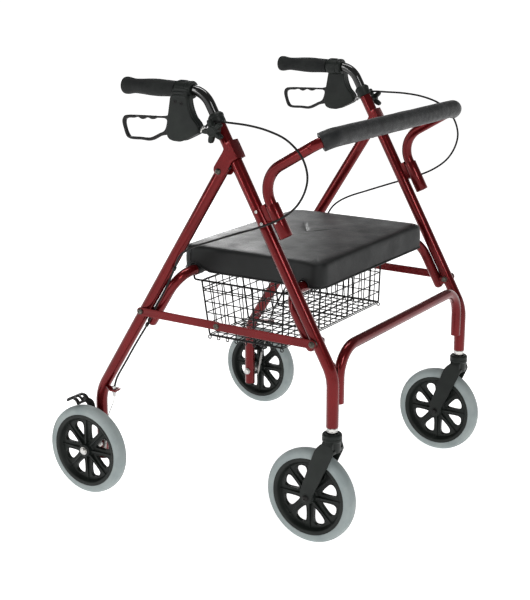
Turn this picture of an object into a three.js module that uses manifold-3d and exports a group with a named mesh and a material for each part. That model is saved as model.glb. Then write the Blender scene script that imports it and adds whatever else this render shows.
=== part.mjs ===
// A folding four-wheeled walker with a seat, wire basket, padded back bar and loop brakes.
// Millimetres. +Z is up, the walker travels towards -Y, and the user's right hand is at -X.
import * as THREE from 'three';
import { mergeVertices } from 'three/addons/utils/BufferGeometryUtils.js';
import Module from 'manifold-3d';

const wasm = await Module();
wasm.setup();

// Driving dimensions ---------------------------------------------------------------------------
const GAP = 0.4; // air left between pieces that touch
const SIDES = { right: -1, left: 1 };

const LEG = { x: 300, outer: 12.7, bore: 11.3 }; // one-inch tube
const TUBE = { outer: 11, bore: 9.5 }; // seat, cross and back tubes
const WHEEL = { radius: 100, halfWidth: 15, rim: 82, hubHalf: 17, bore: 5.4 };
const AXLE = 5;
const BOLT = 4;
const HOLE = 4.3; // clearance hole for a pivot bolt
const REAR_BORE = 10.8; // the corners of its six-sided bore stay inside the ten-sided tube
const BRACKET = { half: 16, slotHalf: 13.4 }; // the folded plate at the top of each side

const FRONT_Y = -317; // line of the caster stems
const TRAIL = 46.5; // caster wheel centre behind its stem
const REAR_Y = 270.5; // line of the rear axles
const REAR_WHEEL_X = 350.6;

const LEG_FOOT = yz(FRONT_Y, 255);
const LEG_BEND = yz(FRONT_Y, 360);
const LEG_TOP = yz(-45.5, 847);
const FOLD_PIVOT = yz(-60, 743);
const REAR_BEND = yz(REAR_Y, 222);
const REAR_FOOT = yz(REAR_Y, 66);
const LINK_REAR = yz(142.5, 426.2);
const LINK_FRONT = yz(-280.5, 424.2);
const LINK_MIDDLE_SHARE = 0.533; // of the way from the front bolt to the rear bolt
const LINK = { halfHeight: 9, thick: 3, rearLayer: 314.2, frontLayer: 317.9 };

const SEAT_BAR_FRONT = yz(-206.6, 510.9);
const SEAT_BAR_REAR = yz(60, 510.9);
const SEAT_TUBE = { x: 292, bend: 45 }; // each runs down beside a pair of legs
const SEAT_FRONT_FOOT = yz(-267.4, 401.7);
const SEAT_REAR_FOOT = yz(134.3, 393.8);
const LUG = { inner: 284.4, outer: 286.9, radius: 8.5 };
const LUG_FRONT_INSIDE = yz(-266.2, 416.2);
const LUG_REAR_INSIDE = yz(124.9, 419.8);
const CROSS = { z: 408, foot: 298, bend: 60 }; // tube between the front legs
const SEAT = { halfWidth: 232.5, front: -250, rear: 97, top: 561, skirt: 505, bottom: 523, board: 533 };
const SEAT_CORNER = 26;
const SEAT_CLIPS = { x: [-110, 110], halfWidth: 12, radius: 15.5 };
const SEAT_NOTCH = 12.5; // radius left free round the bars where they pass under the skirt
// The skirt's edge, in Y and Z, over the way that the rear bar takes as the frame folds.
const SEAT_SWEEP = [
  [11, 500], [13, 505], [20, 507.2], [30, 510.8], [40, 515], [50, 519.6], [56, 522.6], [60, 522.6],
  [60, 500],
];
const BOARD_INSET = 11;
const BASKET = { halfWidth: 215, front: -150, rear: 55, rim: 485, floor: 365, wall: 2 };

const SOCKET = { low: yz(-209, 625), length: 70, outer: 14, bore: 11.8, button: 34 };
const BACK_BEND_RISE = 128; // up the leg's line from the socket's low end
const BACK_BAR = yz(-291.5, 822);
const BACK_RADIUS = 38;
const BACK_LOW_RADIUS = 55;
const FOAM = 19.5;
const FOAM_TURN = THREE.MathUtils.degToRad(50); // how much of each bend the foam covers

const GRIP = { z: 897, front: 48, rear: 180 };
const HANDLE = { outer: 10.6, bore: 9, inLeg: 180, bend: 50 };
const HOUSING = { inner: 302, outer: 326, slotInner: 308.6, slotOuter: 319.4 };
const LEVER_PIVOT = yz(34, 858);
const LEVER = { inner: 309.2, outer: 318.8 };
const KNOB = { inner: 323, outer: 336, arms: 5, reach: 24, waist: 11, turn: -0.07 };
const KNOB_BELOW_TOP = 26.6;
const ARM_PIVOT = yz(REAR_Y, 158);
const ARM = { inner: 321, outer: 325 };
const BRAKE_SHOE = { outer: 364, front: 286, rear: 304, low: 202.5, high: 208 };
const CABLE = 2.5;
const CABLE_STOP = { x: 318, y: 219, z: 235, thick: 4 }; // tab on the rear leg
const HOOK = 15; // outer radius of the basket's front hooks
const FORK = { halfWidth: 23, blade: 4, low: 204, top: 243.5 };

// Materials ------------------------------------------------------------------------------------
const finish = (color, roughness, metalness) =>
  new THREE.MeshStandardMaterial({ color, roughness, metalness });
const RED = finish(0x5c1218, 0.28, 0.55);
const BLACK_GLOSS = finish(0x0c0c0d, 0.2, 0.3);
const BLACK_PLASTIC = finish(0x161617, 0.5, 0);
const BLACK_RUBBER = finish(0x131313, 0.75, 0);
const ZINC = finish(0xb9bbbd, 0.35, 1);
const GREY_TYRE = finish(0x9aa3a3, 0.7, 0);
const VINYL = finish(0x17171a, 0.45, 0);
const WIRE = finish(0x111112, 0.4, 0.2);

// Geometry helpers -----------------------------------------------------------------------------
function yz(y, z) {
  return new THREE.Vector2(y, z);
}

const at = (x, p) => new THREE.Vector3(x, p.x, p.y);

/** Straight runs joined by arcs, sampled only where the direction changes. */
class BentPath extends THREE.Curve {
  constructor(corners, radii, arcSteps = 3) {
    super();
    this.points = [corners[0].clone()];
    this.tangents = [corners[1].clone().sub(corners[0]).normalize()];
    for (let i = 1; i < corners.length - 1; i++) {
      const before = corners[i].clone().sub(corners[i - 1]).normalize();
      const after = corners[i + 1].clone().sub(corners[i]).normalize();
      const turn = before.angleTo(after);
      const radius = Array.isArray(radii) ? radii[i - 1] : radii;
      const inward = after.clone().addScaledVector(before, -before.dot(after)).normalize();
      const start = corners[i].clone().addScaledVector(before, -radius * Math.tan(turn / 2));
      const centre = start.clone().addScaledVector(inward, radius);
      for (let k = 0; k <= arcSteps; k++) {
        const a = (turn * k) / arcSteps;
        const point = centre.clone().addScaledVector(inward, -radius * Math.cos(a));
        this.points.push(point.addScaledVector(before, radius * Math.sin(a)));
        const tangent = before.clone().multiplyScalar(Math.cos(a));
        this.tangents.push(tangent.addScaledVector(inward, Math.sin(a)));
      }
    }
    this.points.push(corners.at(-1).clone());
    this.tangents.push(corners.at(-1).clone().sub(corners.at(-2)).normalize());
  }

  getPointAt(u) {
    return this.points[Math.round(u * (this.points.length - 1))].clone();
  }

  getTangentAt(u) {
    return this.tangents[Math.round(u * (this.tangents.length - 1))].clone();
  }
}

function ring(radius, sides) {
  const corner = (_, i) => {
    const a = (2 * Math.PI * i) / sides;
    return new THREE.Vector2(radius * Math.cos(a), radius * Math.sin(a));
  };
  return Array.from({ length: sides }, corner);
}

function tube(path, outer, bore = 0, sides = 8, boreSides = 6) {
  const section = new THREE.Shape(ring(outer, sides));
  if (bore) section.holes.push(new THREE.Path(ring(bore, boreSides).reverse()));
  const steps = path.points.length - 1;
  return new THREE.ExtrudeGeometry(section, { steps, extrudePath: path });
}

/** A shape drawn in Y and Z, given a thickness along X. */
function plate(shape, xa, xb, curveSegments = 6) {
  const depth = Math.abs(xb - xa);
  const geometry = new THREE.ExtrudeGeometry(shape, { depth, bevelEnabled: false, curveSegments });
  const turn = new THREE.Matrix4().makeBasis(
    new THREE.Vector3(0, 1, 0), new THREE.Vector3(0, 0, 1), new THREE.Vector3(1, 0, 0),
  );
  return geometry.applyMatrix4(turn).translate(Math.min(xa, xb), 0, 0);
}

const polygon = (points) => new THREE.Shape(points.map(([y, z]) => new THREE.Vector2(y, z)));

function disc(centre, radius, hole = 0) {
  const shape = new THREE.Shape().absarc(centre.x, centre.y, radius, 0, 2 * Math.PI);
  if (hole) shape.holes.push(new THREE.Path().absarc(centre.x, centre.y, hole, 0, 2 * Math.PI, true));
  return shape;
}

/** A bar with round ends between two points. */
function strap(from, to, radius) {
  const heading = to.clone().sub(from).angle();
  const shape = new THREE.Shape();
  shape.absarc(from.x, from.y, radius, heading + Math.PI / 2, heading + 1.5 * Math.PI);
  shape.absarc(to.x, to.y, radius, heading - Math.PI / 2, heading + Math.PI / 2);
  return shape;
}

/** A turned piece: [radius, distance along the axis] pairs, about X, Y or Z. */
function turned(profile, axis, centre, segments = 12) {
  const points = profile.map(([r, h]) => new THREE.Vector2(r, h));
  if (THREE.ShapeUtils.area(points) < 0) points.reverse(); // faces then point outwards
  const geometry = new THREE.LatheGeometry(points, segments);
  if (axis === 'x') geometry.rotateZ(-Math.PI / 2);
  if (axis === 'z') geometry.rotateX(Math.PI / 2);
  return geometry.translate(centre.x, centre.y, centre.z);
}

const rod = (radius, xa, xb, p, segments = 12) => {
  const half = Math.abs(xb - xa) / 2;
  const profile = [[0, -half], [radius, -half], [radius, half], [0, half]];
  return turned(profile, 'x', at((xa + xb) / 2, p), segments);
};

const block = (x0, x1, y0, y1, z0, z1) =>
  new THREE.BoxGeometry(Math.abs(x1 - x0), y1 - y0, z1 - z0)
    .translate((x0 + x1) / 2, (y0 + y1) / 2, (z0 + z1) / 2);

function solid(geometry) {
  const bare = geometry.clone();
  bare.deleteAttribute('normal');
  bare.deleteAttribute('uv');
  const merged = mergeVertices(bare, 1e-3);
  const vertProperties = new Float32Array(merged.attributes.position.array);
  const triVerts = new Uint32Array(merged.index.array);
  return new wasm.Manifold(new wasm.Mesh({ numProp: 3, vertProperties, triVerts }));
}

function asGeometry(body) {
  const mesh = body.getMesh();
  const geometry = new THREE.BufferGeometry();
  geometry.setAttribute('position', new THREE.BufferAttribute(mesh.vertProperties, mesh.numProp));
  geometry.setIndex(new THREE.BufferAttribute(mesh.triVerts, 1));
  geometry.computeVertexNormals();
  return geometry;
}

const join = (first, ...rest) => asGeometry(rest.reduce((sum, g) => sum.add(solid(g)), solid(first)));
const cut = (first, ...rest) => asGeometry(rest.reduce((sum, g) => sum.subtract(solid(g)), solid(first)));

const walker = new THREE.Group();

function add(name, geometry, material) {
  const mesh = new THREE.Mesh(geometry, material);
  mesh.name = name;
  walker.add(mesh);
}

/** Runs a maker once for each side, with the sign of X and the name's ending. */
const bothSides = (make) => Object.entries(SIDES).forEach(([side, s]) => make(s, `_${side}`));

// Places that several pieces share -------------------------------------------------------------
const legUp = LEG_TOP.clone().sub(LEG_BEND).normalize();
const legRear = yz(legUp.y, -legUp.x);
/** A point beside the leaning part of the front leg: distance below its top, distance behind it. */
const besideLeg = (below, behind) =>
  LEG_TOP.clone().addScaledVector(legUp, -below).addScaledVector(legRear, behind);
const linkMiddle = LINK_FRONT.clone().lerp(LINK_REAR, LINK_MIDDLE_SHARE);
const knobCentre = besideLeg(KNOB_BELOW_TOP, 0);
const backBend = SOCKET.low.clone().addScaledVector(legUp, BACK_BEND_RISE);
const buttonCentre = SOCKET.low.clone().addScaledVector(legUp, SOCKET.button);
const buttonHole = (s) => rod(3.4, s * (LEG.x + 3), s * (LEG.x + 20), buttonCentre);
const rearUp = FOLD_PIVOT.clone().sub(REAR_BEND).normalize();

/** A bolt along X: the nut sits inboard, the head outboard. Distances are from the centre line. */
function bolt(s, p, inboard, outboard, radius = BOLT, head = 7) {
  const nut = head - 0.5;
  const profile = [
    [0, inboard - 6], [nut, inboard - 6], [nut, inboard], [radius, inboard],
    [radius, outboard], [head, outboard], [head, outboard + 3], [head - 2, outboard + 5],
    [0, outboard + 5],
  ];
  return turned(profile.map(([r, h]) => [r, s * h]), 'x', at(0, p), 8);
}

// Front frame ----------------------------------------------------------------------------------
bothSides((s, side) => {
  const path = new BentPath([LEG_FOOT, LEG_BEND, LEG_TOP].map((p) => at(s * LEG.x, p)), 90);
  const knobHole = rod(BOLT + 0.4, s * (LEG.x + 5), s * (LEG.x + 15), knobCentre);
  const boltHole = rod(HOLE, s * (LEG.x - 15), s * (LEG.x + 15), LINK_FRONT);
  add(`front_leg${side}`, cut(tube(path, LEG.outer, LEG.bore, 12, 12), knobHole, boltHole), RED);
});

bothSides((s, side) => {
  const ear = new THREE.Shape([
    besideLeg(55, -16), besideLeg(94, -16), besideLeg(94, -1), besideLeg(106, 18),
    besideLeg(112, 33), besideLeg(108, 42), besideLeg(100, 47.5), besideLeg(91, 47.5),
    besideLeg(85, 43), besideLeg(66, 5), besideLeg(55, 2),
  ]);
  const inside = new THREE.Shape([
    besideLeg(40, -13.4), besideLeg(140, -13.4), besideLeg(140, 70), besideLeg(40, 70),
  ]);
  const full = plate(ear, s * (LEG.x - BRACKET.half), s * (LEG.x + BRACKET.half));
  const slot = plate(inside, s * (LEG.x - BRACKET.slotHalf), s * (LEG.x + BRACKET.slotHalf));
  const hole = rod(HOLE, s * (LEG.x - 20), s * (LEG.x + 20), FOLD_PIVOT);
  add(`upper_bracket${side}`, cut(full, slot, hole), RED);
});

bothSides((s, side) => {
  const profile = [
    [LEG.outer + 0.3, -16], [LEG.outer + 2.8, -16], [LEG.outer + 2.8, 4], [LEG.outer, 7],
    [HANDLE.outer + 0.5, 7], [HANDLE.outer + 0.5, 0.4], [LEG.outer + 0.3, 0.4],
    [LEG.outer + 0.3, -16],
  ];
  const points = profile.map(([r, h]) => new THREE.Vector2(r, h));
  const collar = new THREE.LatheGeometry(points, 16);
  collar.rotateX(Math.PI / 2 - Math.atan2(legUp.x, legUp.y));
  add(`height_collar${side}`, collar.translate(s * LEG.x, LEG_TOP.x, LEG_TOP.y), BLACK_PLASTIC);
});

{
  const x = LEG.x - LEG.outer - TUBE.outer - GAP;
  const corners = [
    new THREE.Vector3(-x, FRONT_Y, CROSS.foot), new THREE.Vector3(-x, FRONT_Y, CROSS.z),
    new THREE.Vector3(x, FRONT_Y, CROSS.z), new THREE.Vector3(x, FRONT_Y, CROSS.foot),
  ];
  const path = new BentPath(corners, CROSS.bend);
  add('lower_cross_tube', tube(path, TUBE.outer, TUBE.bore), RED);
}

bothSides((s, side) => {
  const top = SOCKET.low.clone().addScaledVector(legUp, SOCKET.length);
  const sleeve = new BentPath([at(s * LEG.x, SOCKET.low), at(s * LEG.x, top)], 1);
  const web = new THREE.Shape([
    besideLeg(196, -13.2), besideLeg(236, -13.2), besideLeg(236, -23.5), besideLeg(196, -23.5),
  ]);
  const wall = plate(web, s * (LEG.x - 6), s * (LEG.x + 6));
  const socket = join(tube(sleeve, SOCKET.outer, SOCKET.bore, 12, 12), wall);
  add(`back_socket${side}`, cut(socket, buttonHole(s)), RED);
});

// Seat tubes -----------------------------------------------------------------------------------
/** A U-shaped tube under the seat, with a lug at each foot for the side link's bolt. */
function seatTube(foot, bar, pivot, lugInside) {
  const right = [foot, bar].map((p) => at(-SEAT_TUBE.x, p));
  const left = [bar, foot].map((p) => at(SEAT_TUBE.x, p));
  const path = new BentPath([...right, ...left], SEAT_TUBE.bend, 4);
  const lugs = Object.values(SIDES).map((s) =>
    plate(strap(pivot, lugInside, LUG.radius), s * LUG.inner, s * LUG.outer));
  const holes = Object.values(SIDES).map((s) =>
    rod(HOLE, s * (LUG.inner - 1), s * (LUG.outer + 1), pivot));
  return cut(join(tube(path, TUBE.outer, TUBE.bore), ...lugs), ...holes);
}

add('seat_tube_front', seatTube(SEAT_FRONT_FOOT, SEAT_BAR_FRONT, LINK_FRONT, LUG_FRONT_INSIDE), RED);
add('seat_tube_rear', seatTube(SEAT_REAR_FOOT, SEAT_BAR_REAR, LINK_REAR, LUG_REAR_INSIDE), RED);

// Rear frame -----------------------------------------------------------------------------------
bothSides((s, side) => {
  const top = FOLD_PIVOT.clone().addScaledVector(rearUp, 12);
  const path = new BentPath([REAR_FOOT, REAR_BEND, top].map((p) => at(s * LEG.x, p)), 100);
  const tab = block(
    s * 306, s * (CABLE_STOP.x + 8), CABLE_STOP.y - 9, REAR_Y - 10,
    CABLE_STOP.z, CABLE_STOP.z + CABLE_STOP.thick,
  );
  const tabHole = turned(
    [[0, -5], [3.6, -5], [3.6, 9], [0, 9]], 'z',
    new THREE.Vector3(s * CABLE_STOP.x, CABLE_STOP.y, CABLE_STOP.z),
  );
  const across = (radius, p) => rod(radius, s * (LEG.x - 20), s * (LEG.x + 20), p);
  const leg = cut(
    join(tube(path, LEG.outer, REAR_BORE, 10), tab), tabHole,
    across(HOLE, FOLD_PIVOT), across(HOLE, LINK_REAR), across(AXLE + 0.3, yz(REAR_Y, WHEEL.radius)),
    rod(HOLE, s * (LEG.x + 2), s * (LEG.x + 20), ARM_PIVOT),
  );
  add(`rear_leg${side}`, leg, RED);
  const clamped = BRACKET.half + GAP;
  add(`fold_bolt${side}`, bolt(s, FOLD_PIVOT, LEG.x - clamped, LEG.x + clamped), ZINC);
});

// Folding side links ---------------------------------------------------------------------------
bothSides((s, side) => {
  const front = strap(LINK_FRONT, linkMiddle, LINK.halfHeight);
  front.holes.push(new THREE.Path().absarc(LINK_FRONT.x, LINK_FRONT.y, HOLE, 0, 2 * Math.PI, true));
  const outerFace = LINK.frontLayer + LINK.thick;
  const head = rod(7, s * (outerFace - 0.5), s * (outerFace + 4.5), linkMiddle);
  const frontBar = plate(front, s * LINK.frontLayer, s * outerFace);
  add(`side_link_front${side}`, join(frontBar, head), RED);

  const rear = strap(LINK_REAR, linkMiddle, LINK.halfHeight);
  rear.holes.push(new THREE.Path().absarc(LINK_REAR.x, LINK_REAR.y, HOLE, 0, 2 * Math.PI, true));
  const nut = rod(6.5, s * (LINK.rearLayer - 4), s * (LINK.rearLayer + 0.5), linkMiddle);
  const rearBar = plate(rear, s * LINK.rearLayer, s * (LINK.rearLayer + LINK.thick));
  add(`side_link_rear${side}`, join(rearBar, nut), RED);

  const spacer = rod(8, s * (LEG.x + LEG.outer + GAP), s * (LINK.frontLayer - GAP), LINK_FRONT);
  const frontBolt = bolt(s, LINK_FRONT, LUG.inner - GAP, outerFace + GAP);
  add(`link_bolt_front${side}`, join(frontBolt, spacer), ZINC);
  const rearFace = LINK.rearLayer + LINK.thick;
  const rearBolt = bolt(s, LINK_REAR, LUG.inner - GAP, rearFace + GAP);
  add(`link_bolt_rear${side}`, rearBolt, ZINC);
});

// Wheels ---------------------------------------------------------------------------------------
function rimGeometry(centre) {
  const { hubHalf, bore, rim } = WHEEL;
  const profile = [
    [bore, -hubHalf], [14, -hubHalf], [15, -5], [69, -5], [72, -12], [rim - 1, -12],
    [rim - 1, 12], [72, 12], [69, 5], [15, 5], [14, hubHalf], [bore, hubHalf], [bore, -hubHalf],
  ];
  const openings = Array.from({ length: 8 }, (_, i) => {
    const a = ((i + 0.5) * Math.PI) / 4;
    const spot = (r, sideways) => [
      r * Math.cos(a) - sideways * Math.sin(a), r * Math.sin(a) + sideways * Math.cos(a),
    ];
    const drop = [[27, 0], [52, -15], [62, -11], [65, 0], [62, 11], [52, 15]];
    return plate(polygon(drop.map(([r, w]) => spot(r, w))), -hubHalf, hubHalf);
  });
  return cut(turned(profile, 'x', new THREE.Vector3(), 16), ...openings)
    .translate(centre.x, centre.y, centre.z);
}

function tyreGeometry(centre) {
  const { rim, radius, halfWidth } = WHEEL;
  const profile = [
    [rim, -halfWidth], [rim + 10, -halfWidth], [radius - 1.5, -8], [radius, 0],
    [radius - 1.5, 8], [rim + 10, halfWidth], [rim, halfWidth], [rim, -halfWidth],
  ];
  return turned(profile, 'x', centre, 24);
}

function wheel(prefix, side, centre) {
  add(`${prefix}_rim${side}`, rimGeometry(centre), BLACK_PLASTIC);
  add(`${prefix}_tyre${side}`, tyreGeometry(centre), GREY_TYRE);
}

bothSides((s, side) => {
  const axle = yz(REAR_Y, WHEEL.radius);
  wheel('rear', side, at(s * REAR_WHEEL_X, axle));
  const hubInner = REAR_WHEEL_X - WHEEL.hubHalf;
  const spacer = rod(9, s * (LEG.x + LEG.outer + GAP), s * (hubInner - GAP), axle);
  const pin = bolt(s, axle, LEG.x - LEG.outer - GAP, REAR_WHEEL_X + WHEEL.hubHalf + GAP, AXLE, 9);
  add(`rear_axle${side}`, join(pin, spacer), ZINC);
});

// Casters --------------------------------------------------------------------------------------
bothSides((s, side) => {
  const stem = [
    [0, 212], [6, 212], [6, 246], [11, 246], [11, LEG_FOOT.y - GAP],
    [10.2, LEG_FOOT.y - GAP], [10.2, 285], [0, 285],
  ];
  add(`caster_stem${side}`, turned(stem, 'z', new THREE.Vector3(s * LEG.x, FRONT_Y, 0)), ZINC);

  const axle = yz(FRONT_Y + TRAIL, WHEEL.radius);
  const head = turned(
    [
      [0, FORK.low], [17, FORK.low], [18.5, 226], [20, 228], [20, 241], [17.5, FORK.top],
      [0, FORK.top],
    ],
    'z', new THREE.Vector3(s * LEG.x, FRONT_Y, 0), 16,
  );
  const x = s * LEG.x;
  const half = FORK.halfWidth;
  const crown = block(x - half, x + half, FRONT_Y - 15, FRONT_Y + 21, FORK.low, 214);
  const blade = polygon([
    [FRONT_Y - 15, 214], [FRONT_Y + 21, 214], [FRONT_Y + 29, 196], [axle.x + 15, axle.y + 4],
    [axle.x + 9, axle.y - 12], [axle.x - 6, axle.y - 14], [axle.x - 15, axle.y - 4],
    [FRONT_Y - 2, 180],
  ]);
  const blades = [-half, half - FORK.blade].map((d) => plate(blade, x + d, x + d + FORK.blade));
  const stemHole = turned(
    [[0, 208], [6.5, 208], [6.5, 250], [0, 250]], 'z', new THREE.Vector3(x, FRONT_Y, 0),
  );
  const axleHole = rod(AXLE + 0.4, x - half - 5, x + half + 5, axle);
  add(`caster_fork${side}`, cut(join(head, crown, ...blades), stemHole, axleHole), BLACK_PLASTIC);

  wheel('caster', side, at(x, axle));
  const pin = bolt(s, axle, LEG.x - half - GAP, LEG.x + half + GAP, AXLE, 7);
  add(`caster_axle${side}`, pin, BLACK_GLOSS);
});

// Seat -----------------------------------------------------------------------------------------
{
  const board = block(
    -SEAT.halfWidth + BOARD_INSET, SEAT.halfWidth - BOARD_INSET,
    SEAT.front + BOARD_INSET, SEAT.rear - BOARD_INSET, SEAT.bottom - 1, SEAT.board,
  );
  const reach = SEAT_CLIPS.halfWidth;
  const clips = SEAT_CLIPS.x.map((x) =>
    plate(disc(SEAT_BAR_FRONT, SEAT_CLIPS.radius), x - reach, x + reach));
  const clipHoles = SEAT_CLIPS.x.map((x) =>
    rod(TUBE.outer + 0.5, x - reach - 8, x + reach + 8, SEAT_BAR_FRONT, 16));
  const hookX = BASKET.halfWidth - 1;
  const hookRoom = [-hookX, hookX].map((x) => rod(HOOK + 1.5, x - 5, x + 5, SEAT_BAR_FRONT));
  add('seat_board', cut(join(board, ...clips), ...clipHoles, ...hookRoom), BLACK_PLASTIC);

  const r = SEAT_CORNER;
  const w = SEAT.halfWidth;
  const outline = new THREE.Shape();
  outline.absarc(w - r, SEAT.rear - r, r, 0, Math.PI / 2);
  outline.absarc(r - w, SEAT.rear - r, r, Math.PI / 2, Math.PI);
  outline.absarc(r - w, SEAT.front + r, r, Math.PI, 1.5 * Math.PI);
  outline.absarc(w - r, SEAT.front + r, r, 1.5 * Math.PI, 2 * Math.PI);
  const pad = new THREE.ExtrudeGeometry(outline, {
    depth: SEAT.top - SEAT.skirt, bevelEnabled: false, curveSegments: 3,
  }).translate(0, 0, SEAT.skirt);
  const recess = block(
    -w + BOARD_INSET - 1, w - BOARD_INSET + 1, SEAT.front + BOARD_INSET - 1,
    SEAT.rear - BOARD_INSET + 1, SEAT.skirt - 5, SEAT.board + GAP,
  );
  const notches = [SEAT_BAR_FRONT, SEAT_BAR_REAR].flatMap((bar) => [
    rod(SEAT_NOTCH, -w - 5, w + 5, bar, 16),
    block(-w - 5, w + 5, bar.x - SEAT_NOTCH, bar.x + SEAT_NOTCH, SEAT.skirt - 5, bar.y),
  ]);
  const sweep = plate(polygon(SEAT_SWEEP), -w - 5, w + 5);
  add('seat_pad', cut(pad, recess, ...notches, sweep), VINYL);
}

// Basket ---------------------------------------------------------------------------------------
{
  const { halfWidth, front, rear, rim, floor, wall } = BASKET;
  const outer = polygon([[front, rim], [front + 4, floor], [rear - 19, floor], [rear, rim]]);
  const inner = polygon([
    [front + wall, rim + 5], [front + 4 + wall, floor + wall], [rear - 19 - wall, floor + wall],
    [rear - wall, rim + 5],
  ]);
  const shell = plate(outer, -halfWidth, halfWidth);
  const space = plate(inner, wall - halfWidth, halfWidth - wall);
  const hangers = Object.values(SIDES).flatMap((s) => {
    const x = s * (halfWidth - 1);
    const route = [
      yz(SEAT_BAR_FRONT.x + 9, SEAT_BAR_FRONT.y - 10), yz(front, rim - 1), yz(rear, rim - 1),
      yz(SEAT_BAR_REAR.x + 15, rim - 1), yz(SEAT_BAR_REAR.x + 15, SEAT_BAR_REAR.y + 4),
    ];
    const wire = tube(new BentPath(route.map((p) => at(x, p)), 5, 1), 2, 0, 6);
    return [wire, plate(disc(SEAT_BAR_FRONT, HOOK, TUBE.outer + 0.7), x - 2, x + 2)];
  });
  add('basket', join(cut(shell, space), ...hangers), WIRE);
}

// Back bar -------------------------------------------------------------------------------------
{
  const foot = SOCKET.low.clone().addScaledVector(legUp, 4);
  const right = [foot, backBend, BACK_BAR].map((p) => at(-LEG.x, p));
  const left = [BACK_BAR, backBend, foot].map((p) => at(LEG.x, p));
  const path = new BentPath(
    [...right, ...left], [BACK_LOW_RADIUS, BACK_RADIUS, BACK_RADIUS, BACK_LOW_RADIUS],
  );
  add('back_tube', cut(tube(path, TUBE.outer, TUBE.bore), buttonHole(-1), buttonHole(1)), RED);

  const incoming = at(0, BACK_BAR).sub(at(0, backBend)).normalize();
  const reach = BACK_RADIUS * Math.tan(FOAM_TURN / 2);
  const cornerX = LEG.x - BACK_RADIUS + reach;
  const foamEnd = (s) => {
    const heading = incoming.clone().multiplyScalar(Math.sin(FOAM_TURN));
    heading.x = -s * Math.cos(FOAM_TURN);
    return at(s * cornerX, BACK_BAR).addScaledVector(heading, -reach - 0.5);
  };
  const line = [foamEnd(-1), at(-cornerX, BACK_BAR), at(cornerX, BACK_BAR), foamEnd(1)];
  const foamPath = new BentPath(line, BACK_RADIUS, 3);
  add('back_foam', tube(foamPath, FOAM, TUBE.outer + 1.2, 12, 10), BLACK_RUBBER);
}

bothSides((s, side) => {
  const profile = [[0, 0], [4.6, 0], [4.6, 1.5], [3, 1.5], [3, 11], [1.8, 12.5], [0, 12.5]];
  const button = turned(
    profile.map(([r, h]) => [r, s * h]), 'x', at(s * (LEG.x + 4), buttonCentre), 8,
  );
  add(`back_button${side}`, button, ZINC);
});

// Handles and brakes ---------------------------------------------------------------------------
bothSides((s, side) => {
  const foot = besideLeg(HANDLE.inLeg, 0);
  const bend = LEG_TOP.clone().addScaledVector(legUp, (GRIP.z - LEG_TOP.y) / legUp.y);
  const end = yz(GRIP.rear - 6, GRIP.z);
  const path = new BentPath([foot, bend, end].map((p) => at(s * LEG.x, p)), HANDLE.bend, 5);
  add(`handle_tube${side}`, tube(path, HANDLE.outer, HANDLE.bore, 12, 6), BLACK_GLOSS);

  const { front, rear, z } = GRIP;
  const grip = [
    [0, rear - 5.5], [11.2, rear - 5.5], [11.2, front], [15.2, front], [17.4, front + 47],
    [15, rear - 30], [17.4, rear - 12], [17.2, rear - 1.5], [14, rear], [0, rear],
  ];
  add(`grip${side}`, turned(grip, 'y', new THREE.Vector3(s * LEG.x, 0, z)), BLACK_RUBBER);
});

bothSides((s, side) => {
  const shield = polygon([
    [46, 890], [51.5, 863], [56, 838], [58.5, 820], [57, 803], [42, 796.5], [23, 796],
    [-2, 807], [-20, 816.5], [-20.5, 827], [-16, 835], [-4, 846], [3, 862], [6, 874], [8, 890],
  ]);
  const body = plate(shield, s * HOUSING.inner, s * HOUSING.outer);
  const clamp = turned(
    [[0, 9], [17, 9], [17.8, 13], [17.8, 42], [17, 45.5], [0, 45.5]], 'y',
    new THREE.Vector3(s * LEG.x, 0, GRIP.z), 16,
  );
  const bore = turned(
    [[0, -10], [HANDLE.outer + 0.5, -10], [HANDLE.outer + 0.5, 80], [0, 80]], 'y',
    new THREE.Vector3(s * LEG.x, 0, GRIP.z), 16,
  );
  const slot = block(s * HOUSING.slotInner, s * HOUSING.slotOuter, 14, 90, 790, 876);
  const pin = rod(3, s * (HOUSING.slotInner - 2), s * (HOUSING.slotOuter + 2), LEVER_PIVOT, 8);
  const housing = join(cut(join(body, clamp), bore, slot), pin);
  add(`brake_housing${side}`, housing, BLACK_PLASTIC);

  const loop = polygon([
    [22, 860], [30, 869], [42, 868], [52, 850], [66, 843.5], [126, 841], [161, 839.5],
    [171.5, 836], [176, 826], [172, 810], [166, 795], [156, 790.5], [110, 790.5], [98, 792.5],
    [87, 797.5], [76, 803], [56, 808], [44, 820], [34, 836], [24, 850],
  ]);
  loop.holes.push(new THREE.Path([
    [62, 836], [64, 820], [70, 812], [90, 804], [101, 799.5], [112, 797], [155, 796],
    [161, 799], [166, 810], [168.5, 824], [166, 830], [145, 834.5], [133, 836.3],
    [121, 833.5], [108, 837], [94, 835.3], [83, 838],
  ].map(([y, z]) => new THREE.Vector2(y, z))));
  const bar = plate(loop, s * LEVER.inner, s * LEVER.outer);
  const eye = rod(3.5, s * LEVER.inner - s * 3, s * LEVER.outer + s * 3, LEVER_PIVOT);
  add(`brake_lever${side}`, cut(bar, eye), BLACK_PLASTIC);
});

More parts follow.
